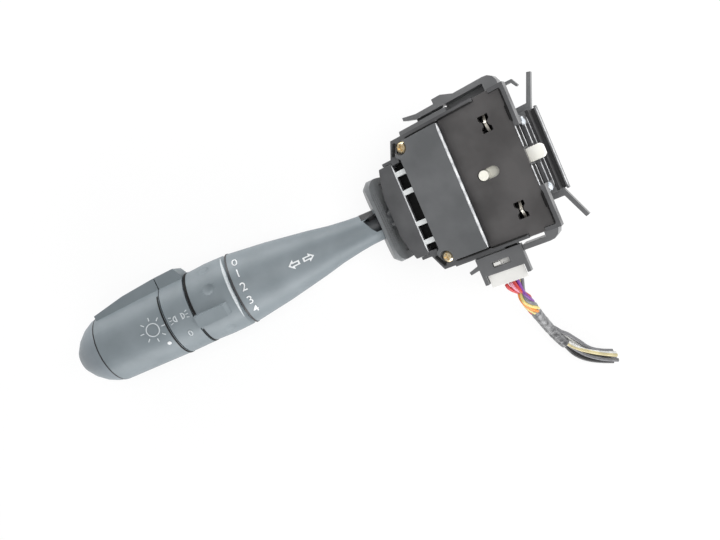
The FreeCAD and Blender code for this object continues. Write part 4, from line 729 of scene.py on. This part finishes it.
def strand(colour, radius, first, last, offset):
    """One wire from mark to mark. offset gives its way to the side and upwards at a mark."""
    spots = []
    for mark, spot, (side, up) in zip(marks, loom_line, loom_frames):
        if not first <= mark <= last:
            continue
        across, rise = offset(mark)
        seed = Vector((mark * 9, WOBBLE_SEEDS[colour] * 3.7, across * 900))
        spots.append(spot + (side * across + up * rise) * (1 + WOBBLE * noise.noise(seed)))
    index = list(WIRE_COLOURS).index(colour)
    add_tube(loom, spots, [radius] * len(spots), WIRE_SIDES, index)


def twisted(phase, fan):
    """Offset of a wire that starts in the plug's row, at fan metres from its middle, and twists."""
    def offset(mark):
        turn = phase + TOP_TURNS * math.tau * mark
        free = ease(mark / TOP_FREE_MARK)
        return (fan * (1 - free) + TOP_REACH * math.cos(turn) * free,
                TOP_REACH * math.sin(turn) * (0.4 + 0.6 * free))
    return offset


def splayed(across, rise, leaves):
    """Offset of a wire that leaves the bundle at a mark and lies beside it from there."""
    def offset(mark):
        share = ease((mark - leaves) / LOWER_SPLAY_SPAN)
        sway = LOWER_SWAY * math.sin(mark * 14 + across * 1500) * share
        return across * share + sway, rise * (0.5 + 0.5 * share)
    return offset


def wound(mark):
    """Radius of the tape at a mark, stepped where each winding laps over the one before."""
    def reach(angle):
        lap = (mark * TAPE_WINDINGS + angle / math.tau) % 1
        place = Vector((mark * 22, math.cos(angle) * 2, math.sin(angle) * 2))
        return TAPE_RADIUS + TAPE_LAP * lap + TAPE_CREASE * noise.noise(place)
    return reach


# Colour and place in the plug's row
TOP_WIRES = (("red", 0.0037), ("pink", 0.002), ("red", 0.0006), ("purple", -0.0012),
             ("grey", -0.0034), ("yellow", -0.0022), ("orange", 0.0), ("yellow", 0.0016))
for k, (colour, fan) in enumerate(TOP_WIRES):
    phase = math.tau * (k - 1.5) / len(TOP_WIRES) - math.pi / 2
    strand(colour, TOP_RADIUS, 0.0, TAPE_START + TAPE_OVERLAP, twisted(phase, fan))

# Colour, place across and up at the cut end, mark where it leaves the bundle, first mark drawn.
# The outer wires end earlier, so that all stay inside the CAD's box.
for colour, across, rise, leaves, first in (
        ("grey", 0.0027, 0.0008, 0.6, 0.6), ("black", 0.0014, 0.0012, 0.6, 0.6),
        ("grey", 0.0004, -0.0012, 0.6, 0.6), ("black", 0.0022, -0.0009, 0.6, 0.6),
        ("straw", -0.0012, -0.0014, 0.55, 0.6), ("grey", -0.0004, 0.001, 0.6, 0.6),
        ("white", -0.0026, 0.0004, 0.42, 0.42), ("grey", -0.0034, -0.0006, 0.38, 0.4),
        ("white", -0.0019, -0.001, 0.5, 0.5)):
    last = min(1, 1.006 - 9 * abs(across))
    strand(colour, LOWER_RADIUS, first, last, splayed(across, rise, leaves))

taped = [i for i, mark in enumerate(marks) if TAPE_START <= mark <= TAPE_END]
add_tube(loom, [loom_line[i] for i in taped], [wound(marks[i]) for i in taped], TAPE_SIDES,
         len(WIRES))
loom_piece = add_piece("wire_loom_strands", mesh_of("wire_loom_strands", loom), "housing",
                       *WIRES, TAPE)
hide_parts("wire_loom")


# Stage, lights and camera

FLOOR_HALF = 3.0
FLOOR_GLOW = 0.85
ROOM_LIGHT = 0.44


def floor_material():
    """Pale floor that the camera sees as almost white, apart from the object's shadow."""
    mat = bpy.data.materials.new("pale_floor")
    mat.use_nodes = True
    tree = mat.node_tree
    shader = tree.nodes["Principled BSDF"]
    shader.inputs["Base Color"].default_value = (0.95, 0.95, 0.95, 1)
    shader.inputs["Roughness"].default_value = 0.9
    glow = node(tree, "ShaderNodeEmission", Color=(1, 1, 1, 1), Strength=1.0)
    rays = node(tree, "ShaderNodeLightPath")
    share = node(tree, "ShaderNodeMath", {"operation": "MULTIPLY"})
    share.inputs[1].default_value = FLOOR_GLOW
    seen = node(tree, "ShaderNodeMath", {"operation": "MAXIMUM"})
    mix = node(tree, "ShaderNodeMixShader")
    link = tree.links.new
    link(rays.outputs["Is Camera Ray"], share.inputs[0])
    link(share.outputs[0], seen.inputs[0])
    link(rays.outputs["Is Glossy Ray"], seen.inputs[1])
    link(seen.outputs[0], mix.inputs["Fac"])
    link(shader.outputs[0], mix.inputs[1])
    link(glow.outputs[0], mix.inputs[2])
    link(mix.outputs[0], tree.nodes["Material Output"].inputs["Surface"])
    return mat


floor_corners = ((-1, -1), (1, -1), (1, 1), (-1, 1))
floor_mesh = new_mesh("floor", [(x * FLOOR_HALF, y * FLOOR_HALF, 0) for x, y in floor_corners],
                      [range(4)])
floor_mesh.materials.append(floor_material())
floor = link_object("floor", floor_mesh)

world = bpy.data.worlds.new("soft_room")
scene.world = world
world.use_nodes = True
background = world.node_tree.nodes["Background"]
background.inputs["Color"].default_value = (1, 1, 1, 1)
background.inputs["Strength"].default_value = ROOM_LIGHT


def soft_light(name, spot, aim, size, power):
    """Lamp that is a lit rectangle, aimed at a point; power in watts."""
    data = bpy.data.lights.new(name, "AREA")
    data.shape = "RECTANGLE"
    data.size, data.size_y = size
    data.energy = power
    lamp = link_object(name, data)
    lamp.location = spot
    lamp.rotation_euler = (Vector(aim) - Vector(spot)).to_track_quat("-Z", "Y").to_euler()


soft_light("right_key", (0.5, -0.03, 0.17), (0.05, 0, 0.02), (0.5, 0.12), 0.9)
soft_light("far_side", (0.0, 0.5, 0.13), (0, 0, 0.02), (0.7, 0.16), 2.4)
soft_light("near_side", (0.0, -0.5, 0.13), (0, 0, 0.02), (0.7, 0.16), 2.9)
soft_light("overhead", (0.16, 0, 0.46), (0.05, 0, 0.02), (0.3, 0.5), 1.1)

# The photograph looks down on the object, with the stalk turned towards its lower left
TURN = math.radians(23.5)
TILT = math.radians(2)
CAMERA_FROM_PIVOT = (-30.47, -6.51, 235.37)
row_x = Vector((1, 0, 0))
view_y = Vector((0, math.cos(TILT), -math.sin(TILT)))
view_back = Vector((0, math.sin(TILT), math.cos(TILT)))
view_right = row_x * math.cos(TURN) - view_y * math.sin(TURN)
view_up = row_x * math.sin(TURN) + view_y * math.cos(TURN)
camera_data = bpy.data.cameras.new("camera")
camera_data.sensor_width = 36
camera_data.lens = 28
camera_data.clip_start = 0.005
camera = link_object("camera", camera_data)
spot = PIVOT + Vector(CAMERA_FROM_PIVOT) * MM
camera.matrix_world = Matrix((
    (view_right.x, view_up.x, view_back.x, spot.x),
    (view_right.y, view_up.y, view_back.y, spot.y),
    (view_right.z, view_up.z, view_back.z, spot.z),
    (0, 0, 0, 1)))
scene.camera = camera
scene.view_settings.view_transform = "Standard"

bpy.context.view_layer.update()
